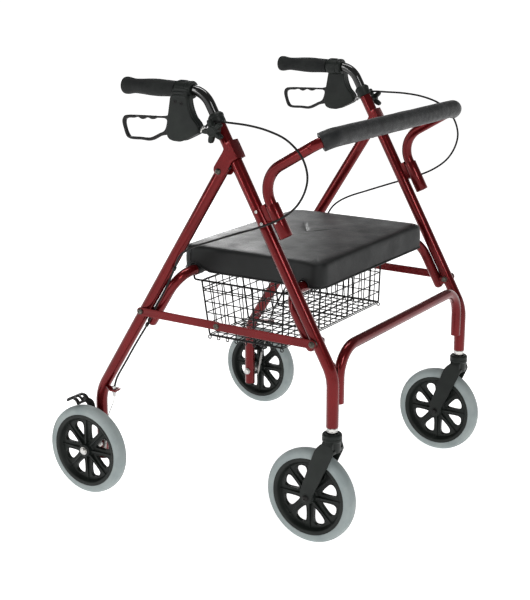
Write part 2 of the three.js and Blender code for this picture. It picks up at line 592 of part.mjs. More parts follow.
bothSides((s, side) => {
  const lobes = KNOB.arms * 6;
  const middle = (KNOB.reach + KNOB.waist) / 2;
  const swing = (KNOB.reach - KNOB.waist) / 2;
  const outline = Array.from({ length: lobes }, (_, i) => {
    const a = (2 * Math.PI * i) / lobes;
    const r = middle + swing * Math.cos(KNOB.arms * a);
    return [
      knobCentre.x + r * Math.cos(a + KNOB.turn), knobCentre.y + r * Math.sin(a + KNOB.turn),
    ];
  });
  const star = plate(polygon(outline), s * KNOB.inner, s * KNOB.outer);
  const wall = s * (LEG.x + LEG.outer);
  const hub = rod(8.5, wall + s * 1.2, s * (KNOB.inner + 1), knobCentre);
  const stud = rod(BOLT, wall - s * 1.2, wall + s * 2, knobCentre);
  add(`height_knob${side}`, join(star, hub, stud), BLACK_PLASTIC);
});

bothSides((s, side) => {
  const arm = polygon([
    [234, 168], [233, 160], [240, 155], [272, 148], [282, 156], [291, 192], [331, 204],
    [330, 213], [282, 206], [272, 196], [266, 169], [244, 167],
  ]);
  const bar = plate(arm, s * ARM.inner, s * ARM.outer);
  const pin = rod(BOLT, s * (LEG.x + 4), s * (ARM.inner + 1), ARM_PIVOT);
  const { outer, front, rear, low, high } = BRAKE_SHOE;
  const shoe = block(s * (ARM.outer - 1), s * outer, front, rear, low, high);
  add(`brake_arm${side}`, join(bar, pin, shoe), BLACK_PLASTIC);
});

bothSides((s, side) => {
  const route = [
    [315, -22.5, 822], [317, -32, 829], [318.5, -44, 838], [319, -66, 842], [323, -95, 842],
    [330, -142, 841], [335, -188, 835], [336, -230, 821], [336, -262, 794], [336, -276, 760],
    [336, -271, 727], [336, -251, 695], [336, -217, 669], [335, -172, 648], [332, -116, 628],
    [327, -54, 605], [321, 2, 583], [317.5, 36, 560], [312, 54, 530], [310, 79, 484],
    [309.5, 106, 440], [310, 130, 398], [312, 161, 350], [315, 188, 305], [317.5, 210, 268],
    [318, CABLE_STOP.y, CABLE_STOP.z + CABLE_STOP.thick + 3],
  ].map(([x, y, z]) => new THREE.Vector3(s * x, y, z));
  const curve = new THREE.CatmullRomCurve3(route, false, 'centripetal');
  const section = new THREE.Shape(ring(CABLE, 8));
  const cable = new THREE.ExtrudeGeometry(section, { steps: 40, extrudePath: curve });
  add(`brake_cable${side}`, cable, BLACK_RUBBER);
});

export default walker;
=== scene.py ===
"""The looks of a folding four-wheeled walker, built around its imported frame.

Lengths are in millimetres until a mesh is made, and +Z is up. The walker travels towards -Y and the
user's right hand is at -X. Points written (y, z) lie in the plane of one side of the frame.
"""
import math
import random

import bmesh
import bpy
from mathutils import Matrix, Vector, noise


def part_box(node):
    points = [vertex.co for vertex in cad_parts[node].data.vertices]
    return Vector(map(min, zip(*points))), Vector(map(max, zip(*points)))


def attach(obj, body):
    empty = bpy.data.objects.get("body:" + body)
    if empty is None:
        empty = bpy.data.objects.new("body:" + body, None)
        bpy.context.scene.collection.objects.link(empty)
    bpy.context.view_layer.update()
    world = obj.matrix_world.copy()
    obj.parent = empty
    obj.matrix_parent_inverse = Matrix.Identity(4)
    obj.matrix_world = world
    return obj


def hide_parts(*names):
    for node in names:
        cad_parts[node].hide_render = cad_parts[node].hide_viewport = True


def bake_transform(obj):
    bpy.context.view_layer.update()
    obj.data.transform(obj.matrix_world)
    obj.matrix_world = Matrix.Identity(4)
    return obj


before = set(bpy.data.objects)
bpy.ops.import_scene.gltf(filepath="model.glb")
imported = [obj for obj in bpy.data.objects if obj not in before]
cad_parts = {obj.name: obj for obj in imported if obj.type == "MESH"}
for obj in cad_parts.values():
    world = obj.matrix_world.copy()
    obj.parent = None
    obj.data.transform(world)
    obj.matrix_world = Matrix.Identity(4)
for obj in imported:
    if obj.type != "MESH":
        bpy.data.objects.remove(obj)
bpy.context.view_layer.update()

# Driving dimensions -------------------------------------------------------------------------------
MM = 0.001
SIDES = (("right", -1), ("left", 1))
LEG_X = 300
LEG_R = 12.7
TUBE_R = 11
WHEEL_R, WHEEL_HALF, RIM_R, HUB_HALF = 100, 15, 82, 17
REAR_WHEEL_X = 350.6
FRONT_Y, REAR_Y, TRAIL = -317, 270.5, 46.5
LEG_FOOT, LEG_BEND, LEG_TOP = (FRONT_Y, 255), (FRONT_Y, 360), (-45.5, 847)
FOLD_PIVOT = (-60, 743)
REAR_BEND, REAR_FOOT = (REAR_Y, 222), (REAR_Y, 66)
LINK_REAR, LINK_FRONT, LINK_MIDDLE = (142.5, 426.2), (-280.5, 424.2), (-55.04, 425.27)
SEAT_BAR_FRONT, SEAT_BAR_REAR, SEAT_TUBE_X, SEAT_TUBE_BEND = (-206.6, 510.9), (60, 510.9), 292, 45
SEAT_FRONT_FOOT, SEAT_REAR_FOOT = (-267.4, 401.7), (134.3, 393.8)
LUG_FRONT, LUG_REAR = (-266.2, 416.2), (124.9, 419.8)
LUG_INNER, LUG_OUTER, LUG_R, LINK_NUT_X = 284.4, 286.9, 8.5, 284
SOCKET_LOW, SOCKET_LENGTH, SOCKET_R, BUTTON_UP = (-209, 625), 70, 14, 34
BACK_RISE, BACK_BAR, BACK_RADIUS, FOAM_R = 128, (-291.5, 822), 38, 19.5
GRIP_Z, GRIP_FRONT, GRIP_REAR, HANDLE_R, HANDLE_BEND = 897, 48, 180, 10.6, 50
LEVER_PIVOT = (34, 858)
ARM_PIVOT = (REAR_Y, 158)
KNOB_BELOW_TOP = 26.6
BASKET_HALF, BASKET_FRONT, BASKET_REAR, BASKET_RIM, BASKET_FLOOR = 215, -150, 55, 485, 365
CABLE_R = 2.2
CABLE_STOP = (318, 219)  # the hole in the rear leg's tab, in (x, y)
CABLE_ROUTE = [
    (315, -22.5, 822), (317, -32, 829), (318.5, -44, 838), (319, -66, 842), (323, -95, 842),
    (330, -142, 841), (335, -188, 835), (336, -230, 821), (336, -262, 794), (336, -276, 760),
    (336, -271, 727), (336, -251, 695), (336, -217, 669), (335, -172, 648), (332, -116, 628),
    (327, -54, 605), (321, 2, 583), (317.5, 36, 560), (312, 54, 530), (310, 79, 484),
    (309.5, 106, 440), (310, 130, 398), (312, 161, 350), (315, 188, 305), (317.5, 210, 268),
    (318, 219, 242),
]
CABLE_SPLIT = 9  # the point of the route where the cable turns back towards the rear leg


# Small geometry -----------------------------------------------------------------------------------
def at(x, p):
    """The point of a side's plane at that x."""
    return Vector((x, p[0], p[1]))


def leg_line(below, behind=0.0):
    """A point beside the leaning part of the front leg, in (y, z)."""
    run, rise = LEG_TOP[0] - LEG_BEND[0], LEG_TOP[1] - LEG_BEND[1]
    size = math.hypot(run, rise)
    uy, uz = run / size, rise / size
    return (LEG_TOP[0] - uy * below + uz * behind, LEG_TOP[1] - uz * below - uy * behind)


def up_leg(p, distance):
    """A (y, z) point moved along the front leg's lean."""
    a, b = leg_line(0), leg_line(-1)
    return (p[0] + (b[0] - a[0]) * distance, p[1] + (b[1] - a[1]) * distance)


def bent(corners, radii, step=5.0):
    """Straight runs joined by arcs, with a point every few degrees of bend."""
    points = [corners[0].copy()]
    for i in range(1, len(corners) - 1):
        before = (corners[i] - corners[i - 1]).normalized()
        after = (corners[i + 1] - corners[i]).normalized()
        turn = before.angle(after)
        radius = radii[i - 1] if isinstance(radii, (list, tuple)) else radii
        inward = (after - before * before.dot(after)).normalized()
        start = corners[i] - before * radius * math.tan(turn / 2)
        centre = start + inward * radius
        count = max(2, round(math.degrees(turn) / step))
        for k in range(count + 1):
            a = turn * k / count
            points.append(centre - inward * radius * math.cos(a) + before * radius * math.sin(a))
    points.append(corners[-1].copy())
    return points


def spline(points, per_span=8, closed=False):
    """A smooth curve through points, in as many dimensions as they have."""
    points = [Vector(p) for p in points]
    count = len(points)
    spans = count if closed else count - 1
    found = []
    for i in range(spans):
        if closed:
            a, b, c, d = (points[(i + k) % count] for k in (-1, 0, 1, 2))
        else:
            b, c = points[i], points[i + 1]
            a = points[i - 1] if i else b * 2 - c
            d = points[i + 2] if i + 2 < count else c * 2 - b
        for k in range(per_span):
            t = k / per_span
            found.append(
                (b * 2 + (c - a) * t + (a * 2 - b * 5 + c * 4 - d) * t * t
                 + (b * 3 - a - c * 3 + d) * t * t * t) * 0.5)
    if not closed:
        found.append(points[-1].copy())
    return found


def softened(outline, passes=2, share=0.22):
    """A closed (y, z) outline with its corners cut round."""
    points = [tuple(p) for p in outline]
    for _ in range(passes):
        cut = []
        for i, p in enumerate(points):
            q = points[(i + 1) % len(points)]
            cut.append((p[0] + (q[0] - p[0]) * share, p[1] + (q[1] - p[1]) * share))
            cut.append((q[0] + (p[0] - q[0]) * share, q[1] + (p[1] - q[1]) * share))
        points = cut
    return points


def circle(centre, radius, count=24):
    turn = 2 * math.pi / count
    return [(centre[0] + radius * math.cos(turn * i), centre[1] + radius * math.sin(turn * i))
            for i in range(count)]


def strap_outline(a, b, radius, count=12):
    """A bar with round ends from a to b."""
    heading = math.atan2(b[1] - a[1], b[0] - a[0])
    points = []
    for centre, start in ((a, heading + math.pi / 2), (b, heading - math.pi / 2)):
        for i in range(count + 1):
            angle = start + math.pi * i / count
            points.append((centre[0] + radius * math.cos(angle), centre[1] + radius * math.sin(angle)))
    return points


# Mesh makers: each adds to a bmesh, in millimetres ---------------------------------------------
def bridge(bm, low, high, flip=False):
    count = len(low)
    for i in range(count):
        j = (i + 1) % count
        quad = (low[i], low[j], high[j], high[i])
        bm.faces.new(quad[::-1] if flip else quad)


def sweep(bm, points, radius, sides=24, bore=0.0, depth=12.0, closed=False, lip=0.8, flat=1.0):
    """A round bar along points. radius is a number or one per point. With a bore, each end is open
    for a short depth. flat squeezes the section across its first direction."""
    count = len(points)
    radii = list(radius) if isinstance(radius, (list, tuple)) else [radius] * count
    tangents = []
    for i in range(count):
        if closed:
            tangents.append((points[(i + 1) % count] - points[i - 1]).normalized())
        else:
            tangents.append((points[min(i + 1, count - 1)] - points[max(i - 1, 0)]).normalized())
    across = tangents[0].orthogonal().normalized()
    frames = []
    for t in tangents:
        across = (across - t * across.dot(t)).normalized()
        frames.append((across.copy(), t.cross(across)))

    def ring(centre, pair, r):
        return [bm.verts.new(centre + pair[0] * (r * flat * math.cos(a)) + pair[1] * (r * math.sin(a)))
                for a in (2 * math.pi * k / sides for k in range(sides))]

    if not closed and lip:
        for end, way in ((0, 1), (count - 1, -1)):
            points = list(points)
            points[end] = points[end] + tangents[end] * (way * lip)
    rings = [ring(points[i], frames[i], radii[i]) for i in range(count)]
    for low, high in zip(rings, rings[1:]):
        bridge(bm, low, high)
    if closed:
        bridge(bm, rings[-1], rings[0])
        return
    for end, way in ((0, -1), (count - 1, 1)):
        r, pair, out = radii[end], frames[end], tangents[end] * way
        edge = rings[end]
        shape = [(r - lip * 0.3, lip * 0.7), (r - lip, lip)] if lip else []
        if bore:
            shape += [(bore + lip * 0.4, lip), (bore, lip * 0.5), (bore, -depth)]
        for r_next, distance in shape:
            new = ring(points[end] + out * distance, pair, r_next)
            bridge(bm, edge, new, flip=way < 0)
            edge = new
        bm.faces.new(edge if way > 0 else edge[::-1])


def lathe(bm, profile, centre, axis="x", segments=32, sign=1):
    """A turned piece from (radius, distance along the axis) pairs. A closed profile makes a ring."""
    turn = {"x": Matrix.Rotation(math.pi / 2, 3, "Y"), "y": Matrix.Rotation(-math.pi / 2, 3, "X"),
            "z": Matrix.Identity(3)}
    matrix = turn[axis] if isinstance(axis, str) else Vector((0, 0, 1)).rotation_difference(axis).to_matrix()
    rings = []
    for r, h in profile:
        if r < 1e-6:
            rings.append([bm.verts.new(matrix @ Vector((0, 0, h * sign)) + centre)])
            continue
        rings.append([bm.verts.new(matrix @ Vector((r * math.cos(a), r * math.sin(a), h * sign)) + centre)
                      for a in (2 * math.pi * k / segments for k in range(segments))])
    for low, high in zip(rings, rings[1:]):
        if len(low) == 1 or len(high) == 1:
            pole, edge = (low[0], high) if len(low) == 1 else (high[0], low)
            if len(edge) > 1:
                for i in range(segments):
                    bm.faces.new((pole, edge[i], edge[(i + 1) % segments]))
        else:
            bridge(bm, low, high)


def rounded_profile(profile, radius=0.8, steps=3):
    """A turned profile with its inner corners made round."""
    found = [profile[0]]
    for a, b, c in zip(profile, profile[1:], profile[2:]):
        pa, pb, pc = Vector(a), Vector(b), Vector(c)
        reach = min(radius, (pb - pa).length * 0.45, (pc - pb).length * 0.45)
        if reach < 1e-4:
            found.append(b)
            continue
        start, end = pb + (pa - pb).normalized() * reach, pb + (pc - pb).normalized() * reach
        for k in range(steps + 1):
            t = k / steps
            found.append(tuple(start * (1 - t) ** 2 + pb * (2 * t * (1 - t)) + end * t * t))
    return found + [profile[-1]]


def plate(bm, outline, x0, x1, bevel=0.8, holes=(), turn=None):
    """An outline in (y, z), as thick as x0 to x1, with rounded edges. turn moves it afterwards."""
    curve = bpy.data.curves.new("outline", "CURVE")
    curve.dimensions, curve.fill_mode = "2D", "BOTH"
    for loop in (outline, *holes):
        run = curve.splines.new("POLY")
        run.points.add(len(loop) - 1)
        for point, (y, z) in zip(run.points, loop):
            point.co = (y, z, 0, 1)
        run.use_cyclic_u = True
    half = abs(x1 - x0) / 2
    bevel = min(bevel, half * 0.95)
    curve.extrude, curve.bevel_depth = half - bevel, bevel
    curve.bevel_resolution, curve.offset = 2, -bevel
    holder = bpy.data.objects.new("outline", curve)
    bpy.context.scene.collection.objects.link(holder)
    evaluated = holder.evaluated_get(bpy.context.evaluated_depsgraph_get())
    mesh = bpy.data.meshes.new_from_object(evaluated)
    basis = Matrix(((0, 0, 1, (x0 + x1) / 2), (1, 0, 0, 0), (0, 1, 0, 0), (0, 0, 0, 1)))
    mesh.transform(turn @ basis if turn else basis)
    bm.from_mesh(mesh)
    bpy.data.objects.remove(holder)
    bpy.data.curves.remove(curve)
    bpy.data.meshes.remove(mesh)


def block(bm, low, high, bevel=1.0, steps=2):
    """A box with rounded edges between two corners."""
    low, high = Vector(low), Vector(high)
    part = bmesh.new()
    bmesh.ops.create_cube(part, size=1.0)
    bmesh.ops.scale(part, vec=high - low, verts=part.verts)
    bmesh.ops.translate(part, vec=(low + high) / 2, verts=part.verts)
    if bevel:
        bmesh.ops.bevel(part, geom=part.edges[:], offset=bevel, segments=steps, profile=0.5, affect="EDGES")
    merge(bm, part)


def merge(bm, part):
    mesh = bpy.data.meshes.new("part")
    part.to_mesh(mesh)
    part.free()
    bm.from_mesh(mesh)
    bpy.data.meshes.remove(mesh)


def piece(name, bm, finish, body, stands_for=(), smooth=35, subdivide=0):
    """Turns a bmesh in millimetres into a shown piece that rides on a body."""
    bmesh.ops.remove_doubles(bm, verts=bm.verts, dist=0.004)
    loose = [v for v in bm.verts if not v.link_faces]
    bmesh.ops.delete(bm, geom=loose, context="VERTS")
    bmesh.ops.recalc_face_normals(bm, faces=bm.faces)
    bmesh.ops.scale(bm, vec=(MM, MM, MM), verts=bm.verts)
    mesh = bpy.data.meshes.new(name)
    bm.to_mesh(mesh)
    bm.free()
    mesh.shade_smooth()
    mesh.set_sharp_from_angle(angle=math.radians(smooth))
    obj = bpy.data.objects.new(name, mesh)
    bpy.context.scene.collection.objects.link(obj)
    mesh.materials.append(finish["material"])
    if subdivide:
        obj.modifiers.new("smooth", "SUBSURF").render_levels = subdivide
    if body:
        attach(obj, body)
    if stands_for:
        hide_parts(*stands_for)
    return obj


# Fasteners ----------------------------------------------------------------------------------------
def hexagon(bm, centre, axis, radius, height, bore=0.0):
    """A hex head or nut that rises from centre along the axis."""
    profile = [(bore, 0), (radius * 0.94, 0), (radius, 0.5), (radius, height - 0.7), (radius * 0.88, height),
               (bore, height)]
    lathe(bm, profile, centre, axis, 6)


def dome(bm, centre, axis, radius, height):
    """A round button head with a small socket in its middle."""
    profile = [(radius, 0)]
    for k in range(7):
        a = math.pi / 2 * k / 7
        profile.append((radius * math.cos(a * 0.92), height * math.sin(a)))
    profile += [(radius * 0.34, height), (radius * 0.3, height * 0.55), (0, height * 0.55)]
    lathe(bm, [(0, 0)] + profile, centre, axis, 24)


def washer(bm, centre, axis, radius, bore, height=1.2):
    profile = [(bore, 0), (radius, 0), (radius, height * 0.7), (radius - 0.4, height), (bore, height),
               (bore, 0)]
    lathe(bm, profile, centre, axis, 32)


def bolt(bm, p, s, inboard, outboard, shank=4, head=7, acorn=False):
    """A bolt along X: nut inboard, head outboard, at a (y, z) point."""
    out = Vector((s, 0, 0))
    lathe(bm, [(0, inboard - 3), (shank, inboard - 3), (shank, outboard + 1), (0, outboard + 1)],
          at(0, p), "x", 20, s)
    washer(bm, at(s * outboard, p), out, head, shank)
    top = at(s * (outboard + 1.2), p)
    if acorn:
        hexagon(bm, top, out, head * 0.86, 2.6)
        turns = (math.pi / 12 * k for k in range(7))
        profile = [(head * 0.7 * math.cos(a), 2.4 + 1.9 * math.sin(a)) for a in turns]
        lathe(bm, profile, top, out, 24)
    else:
        dome(bm, top, out, head * 0.92, 3.4)
    washer(bm, at(s * inboard, p), -out, head * 0.92, shank)
    hexagon(bm, at(s * (inboard - 1.2), p), -out, head * 0.86, 4.4)


# Camera, floor and light --------------------------------------------------------------------------
def make_camera():
    data = bpy.data.cameras.new("camera")
    data.sensor_fit, data.sensor_height, data.lens = "VERTICAL", 36.0, 77.56
    data.clip_end = 50
    camera = bpy.data.objects.new("camera", data)
    camera.location = (-2.3887, -1.4943, 1.1731)
    forward = Vector((0.81251, 0.51925, -0.26496))
    camera.rotation_euler = forward.to_track_quat("-Z", "Y").to_euler()
    bpy.context.scene.collection.objects.link(camera)
    bpy.context.scene.camera = camera


def area_light(name, place, target, size, power, colour=(1, 1, 1)):
    data = bpy.data.lights.new(name, "AREA")
    data.shape, data.size, data.size_y = "RECTANGLE", size[0], size[1]
    data.energy, data.color = power, colour
    light = bpy.data.objects.new(name, data)
    light.location = place
    light.rotation_euler = (Vector(target) - Vector(place)).to_track_quat("-Z", "Y").to_euler()
    bpy.context.scene.collection.objects.link(light)


def make_studio():
    world = bpy.data.worlds.new("studio")
    world.use_nodes = True
    backdrop = world.node_tree.nodes["Background"]
    backdrop.inputs["Color"].default_value = (1.0, 1.0, 1.0, 1)
    backdrop.inputs["Strength"].default_value = 0.16
    bpy.context.scene.world = world
    bpy.context.scene.view_settings.view_transform = "Standard"
    middle = (0, 0, 0.5)
    area_light("key", (-1.9, -2.4, 2.4), middle, (0.7, 1.3), 30)
    area_light("side", (-2.6, 1.4, 1.7), middle, (0.35, 1.8), 16)
    area_light("top", (0.3, 0.2, 3.0), middle, (1.6, 0.4), 26)
    area_light("back", (2.4, 1.9, 1.6), middle, (0.4, 1.8), 16)
    bm = bmesh.new()
    bmesh.ops.create_grid(bm, x_segments=8, y_segments=8, size=80)
    for v in bm.verts:  # the paper curves up far behind the walker
        if max(abs(v.co.x), abs(v.co.y)) > 75:
            v.co.z = 22
    mesh = bpy.data.meshes.new("floor")
    bm.to_mesh(mesh)
    bm.free()
    floor = bpy.data.objects.new("floor", mesh)
    bpy.context.scene.collection.objects.link(floor)
    paper = bpy.data.materials.new("paper")
    paper.use_nodes = True
    shader = paper.node_tree.nodes["Principled BSDF"]
    shader.inputs["Base Color"].default_value = (0.9, 0.9, 0.9, 1)
    shader.inputs["Roughness"].default_value = 0.8
    shader.inputs["Specular IOR Level"].default_value = 0.1
    shader.inputs["Emission Color"].default_value = (1, 1, 1, 1)
    shader.inputs["Emission Strength"].default_value = 0.86
    mesh.materials.append(paper)


# Materials ----------------------------------------------------------------------------------------
def make_finish(slot, dark, light, patch=18, rough=(0.4, 0.5), grains=(), flecks=None, **sockets):
    """A material whose colour and roughness drift between two values, with layers of fine relief.
    grains are (texture, scale per metre, strength, depth in metres); flecks are (scale, colour,
    share) for small spots of another colour. Other sockets of the shader are set by name."""
    material = bpy.data.materials.new(slot)
    material.use_nodes = True
    nodes, links = material.node_tree.nodes, material.node_tree.links
    shader = nodes["Principled BSDF"]
    place = nodes.new("ShaderNodeTexCoord").outputs["Object"]

    def texture(kind, scale, detail=4.0):
        node = nodes.new({"noise": "ShaderNodeTexNoise", "cells": "ShaderNodeTexVoronoi"}[kind])
        node.inputs["Scale"].default_value = scale
        if kind == "noise":
            node.inputs["Detail"].default_value = detail
        links.new(place, node.inputs["Vector"])
        return node

    def mixed(factor, a, b):
        node = nodes.new("ShaderNodeMix")
        node.data_type = "RGBA"
        links.new(factor, node.inputs["Factor"])
        for socket, value in (("A", a), ("B", b)):
            target = [i for i in node.inputs if i.name == socket and i.type == "RGBA"][0]
            if isinstance(value, tuple):
                target.default_value = (*value, 1)
            else:
                links.new(value, target)
        return [o for o in node.outputs if o.type == "RGBA"][0]

    def ranged(value, low, high, low_out, high_out):
        node = nodes.new("ShaderNodeMapRange")
        links.new(value, node.inputs["Value"])
        for socket, number in (("From Min", low), ("From Max", high), ("To Min", low_out),
                               ("To Max", high_out)):
            node.inputs[socket].default_value = number
        return node.outputs["Result"]

    drift = texture("noise", patch)
    colour = mixed(ranged(drift.outputs["Fac"], 0.35, 0.65, 0, 1), dark, light)
    if flecks:
        scale, fleck_colour, share = flecks
        spots = texture("cells", scale)
        spots.inputs["Randomness"].default_value = 1
        near = ranged(spots.outputs["Distance"], 0.0, 0.6, share, 0.0)
        colour = mixed(near, colour, fleck_colour)
    links.new(colour, shader.inputs["Base Color"])
    worn = texture("noise", patch * 3.7, 6)
    links.new(ranged(worn.outputs["Fac"], 0.3, 0.7, *rough), shader.inputs["Roughness"])
    normal = None
    for kind, scale, strength, depth in grains:
        source = texture(kind, scale, 3)
        bump = nodes.new("ShaderNodeBump")
        bump.inputs["Strength"].default_value = strength
        bump.inputs["Distance"].default_value = depth
        links.new(source.outputs["Fac" if kind == "noise" else "Distance"], bump.inputs["Height"])
        if normal:
            links.new(normal, bump.inputs["Normal"])
        normal = bump.outputs["Normal"]
    if normal:
        links.new(normal, shader.inputs["Normal"])
    for socket, value in sockets.items():
        shader.inputs[socket.replace("_", " ").title().replace("Ior", "IOR")].default_value = value
    return {"material": material, "slot": slot}


PAINT = make_finish(
    "frame_paint", (0.098, 0.004, 0.005), (0.132, 0.006, 0.007), 9, (0.2, 0.28),
    [("noise", 260, 0.10, 0.0004), ("cells", 2600, 0.05, 0.0001)],
    (2300, (0.3, 0.02, 0.025), 0.12), metallic=0.65, specular_ior_level=0.2, coat_weight=0.3,
    coat_roughness=0.04, coat_ior=1.4)
BLACK_TUBE = make_finish(
    "black_tube", (0.004, 0.004, 0.004), (0.008, 0.008, 0.008), 14, (0.12, 0.2),
    [("noise", 300, 0.08, 0.0004)], specular_ior_level=0.4, coat_weight=0.4, coat_roughness=0.04)
BLACK_STEEL = make_finish(
    "black_steel", (0.010, 0.010, 0.010), (0.024, 0.023, 0.022), 60, (0.35, 0.5),
    [("noise", 900, 0.2, 0.0002)], metallic=0.6, specular_ior_level=0.3)
ZINC = make_finish(
    "zinc", (0.42, 0.42, 0.42), (0.62, 0.61, 0.58), 70, (0.22, 0.42),
    [("noise", 1400, 0.15, 0.0001)], metallic=1.0)
BOLT = make_finish(
    "bolt_steel", (0.05, 0.046, 0.04), (0.14, 0.13, 0.11), 160, (0.3, 0.5),
    [("noise", 1400, 0.25, 0.0001)], metallic=1.0)
PLASTIC = make_finish(
    "black_plastic", (0.006, 0.008, 0.007), (0.011, 0.014, 0.012), 22, (0.36, 0.50),
    [("noise", 2400, 0.22, 0.0002), ("noise", 130, 0.05, 0.0005)], specular_ior_level=0.2)
LEVER = make_finish(
    "lever_plastic", (0.004, 0.004, 0.004), (0.009, 0.009, 0.009), 25, (0.28, 0.40),
    [("noise", 1800, 0.15, 0.00015)], specular_ior_level=0.22)
GRIP = make_finish(
    "grip_rubber", (0.009, 0.010, 0.010), (0.016, 0.018, 0.017), 30, (0.55, 0.72),
    [("cells", 620, 0.55, 0.0007), ("noise", 2600, 0.2, 0.0002)], specular_ior_level=0.15)
FOAM = make_finish(
    "foam", (0.007, 0.008, 0.008), (0.016, 0.017, 0.018), 26, (0.36, 0.54),
    [("cells", 1300, 0.35, 0.0004), ("noise", 90, 0.3, 0.0012), ("noise", 700, 0.25, 0.0004)],
    specular_ior_level=0.22)
VINYL = make_finish(
    "vinyl", (0.006, 0.007, 0.007), (0.011, 0.012, 0.012), 7, (0.38, 0.5),
    [("cells", 950, 0.32, 0.00035), ("noise", 55, 0.25, 0.0016), ("noise", 2200, 0.15, 0.0002)],
    specular_ior_level=0.2)
WIRE = make_finish(
    "wire", (0.004, 0.004, 0.004), (0.010, 0.010, 0.010), 40, (0.26, 0.42),
    [("noise", 900, 0.25, 0.0003)], specular_ior_level=0.15)
TYRE = make_finish(
    "tyre_grey", (0.225, 0.262, 0.262), (0.285, 0.322, 0.318), 24, (0.50, 0.66),
    [("noise", 1500, 0.18, 0.0003), ("noise", 160, 0.12, 0.0006)],
    (420, (0.17, 0.2, 0.2), 0.12), specular_ior_level=0.35)
SHEATH = make_finish(
    "cable_sheath", (0.004, 0.004, 0.004), (0.009, 0.009, 0.009), 60, (0.28, 0.42),
    [("noise", 1200, 0.12, 0.0002)], specular_ior_level=0.15)


# Brake cables -------------------------------------------------------------------------------------
def make_cables():
    for side, s in SIDES:
        route = [Vector((s * x, y, z)) for x, y, z in CABLE_ROUTE]
        line = spline(route, 10)
        cut = CABLE_SPLIT * 10
        for part, points, bodies in (
                ("upper", line[:cut + 2], (f"handle_{side}", "frame")),
                ("lower", line[cut - 1:], ("frame", "rear_frame"))):
            bm = bmesh.new()
            sweep(bm, points, CABLE_R, 12, lip=0.2)
            cable = piece(f"cable_{part}_{side}", bm, SHEATH, None, [f"brake_cable_{side}"])
            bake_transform(cable)

        bm = bmesh.new()  # ferrule and adjuster at the brake housing
        tip = (route[1] - route[0]).normalized()
        shape = [(0, -5), (4, -5), (4, -1), (5.4, -0.6), (5.4, 3.4), (4, 4), (4, 6), (5, 6.4), (5, 9.4),
                 (3.4, 10.4),
                 (2.9, 13), (0, 13)]
        lathe(bm, rounded_profile(shape, 0.3), route[0], tip, 24)
        piece(f"cable_adjuster_{side}", bm, ZINC, f"handle_{side}")

        bm = bmesh.new()  # adjuster screw in the rear leg's tab
        down = Vector((0, 0, -1))
        stop = Vector((s * CABLE_STOP[0], CABLE_STOP[1], 245))
        lathe(bm, rounded_profile([(0, -1), (3.9, -1), (3.9, 6), (2.9, 6.6), (2.9, 22), (0, 22)], 0.3),
              stop, down, 20)
        hexagon(bm, Vector((s * CABLE_STOP[0], CABLE_STOP[1], 234.6)), down, 5.6, 4)
        piece(f"stop_adjuster_{side}", bm, ZINC, "rear_frame")

        bm = bmesh.new()  # clips that hold the cable to the rear leg
        for place in (18, 21):
            centre, ahead = route[place], (route[place + 1] - route[place - 1]).normalized()
            washer(bm, centre - ahead * 4, ahead, CABLE_R + 1.6, CABLE_R - 0.3, 8)
        piece(f"cable_clips_{side}", bm, BLACK_STEEL, "rear_frame")


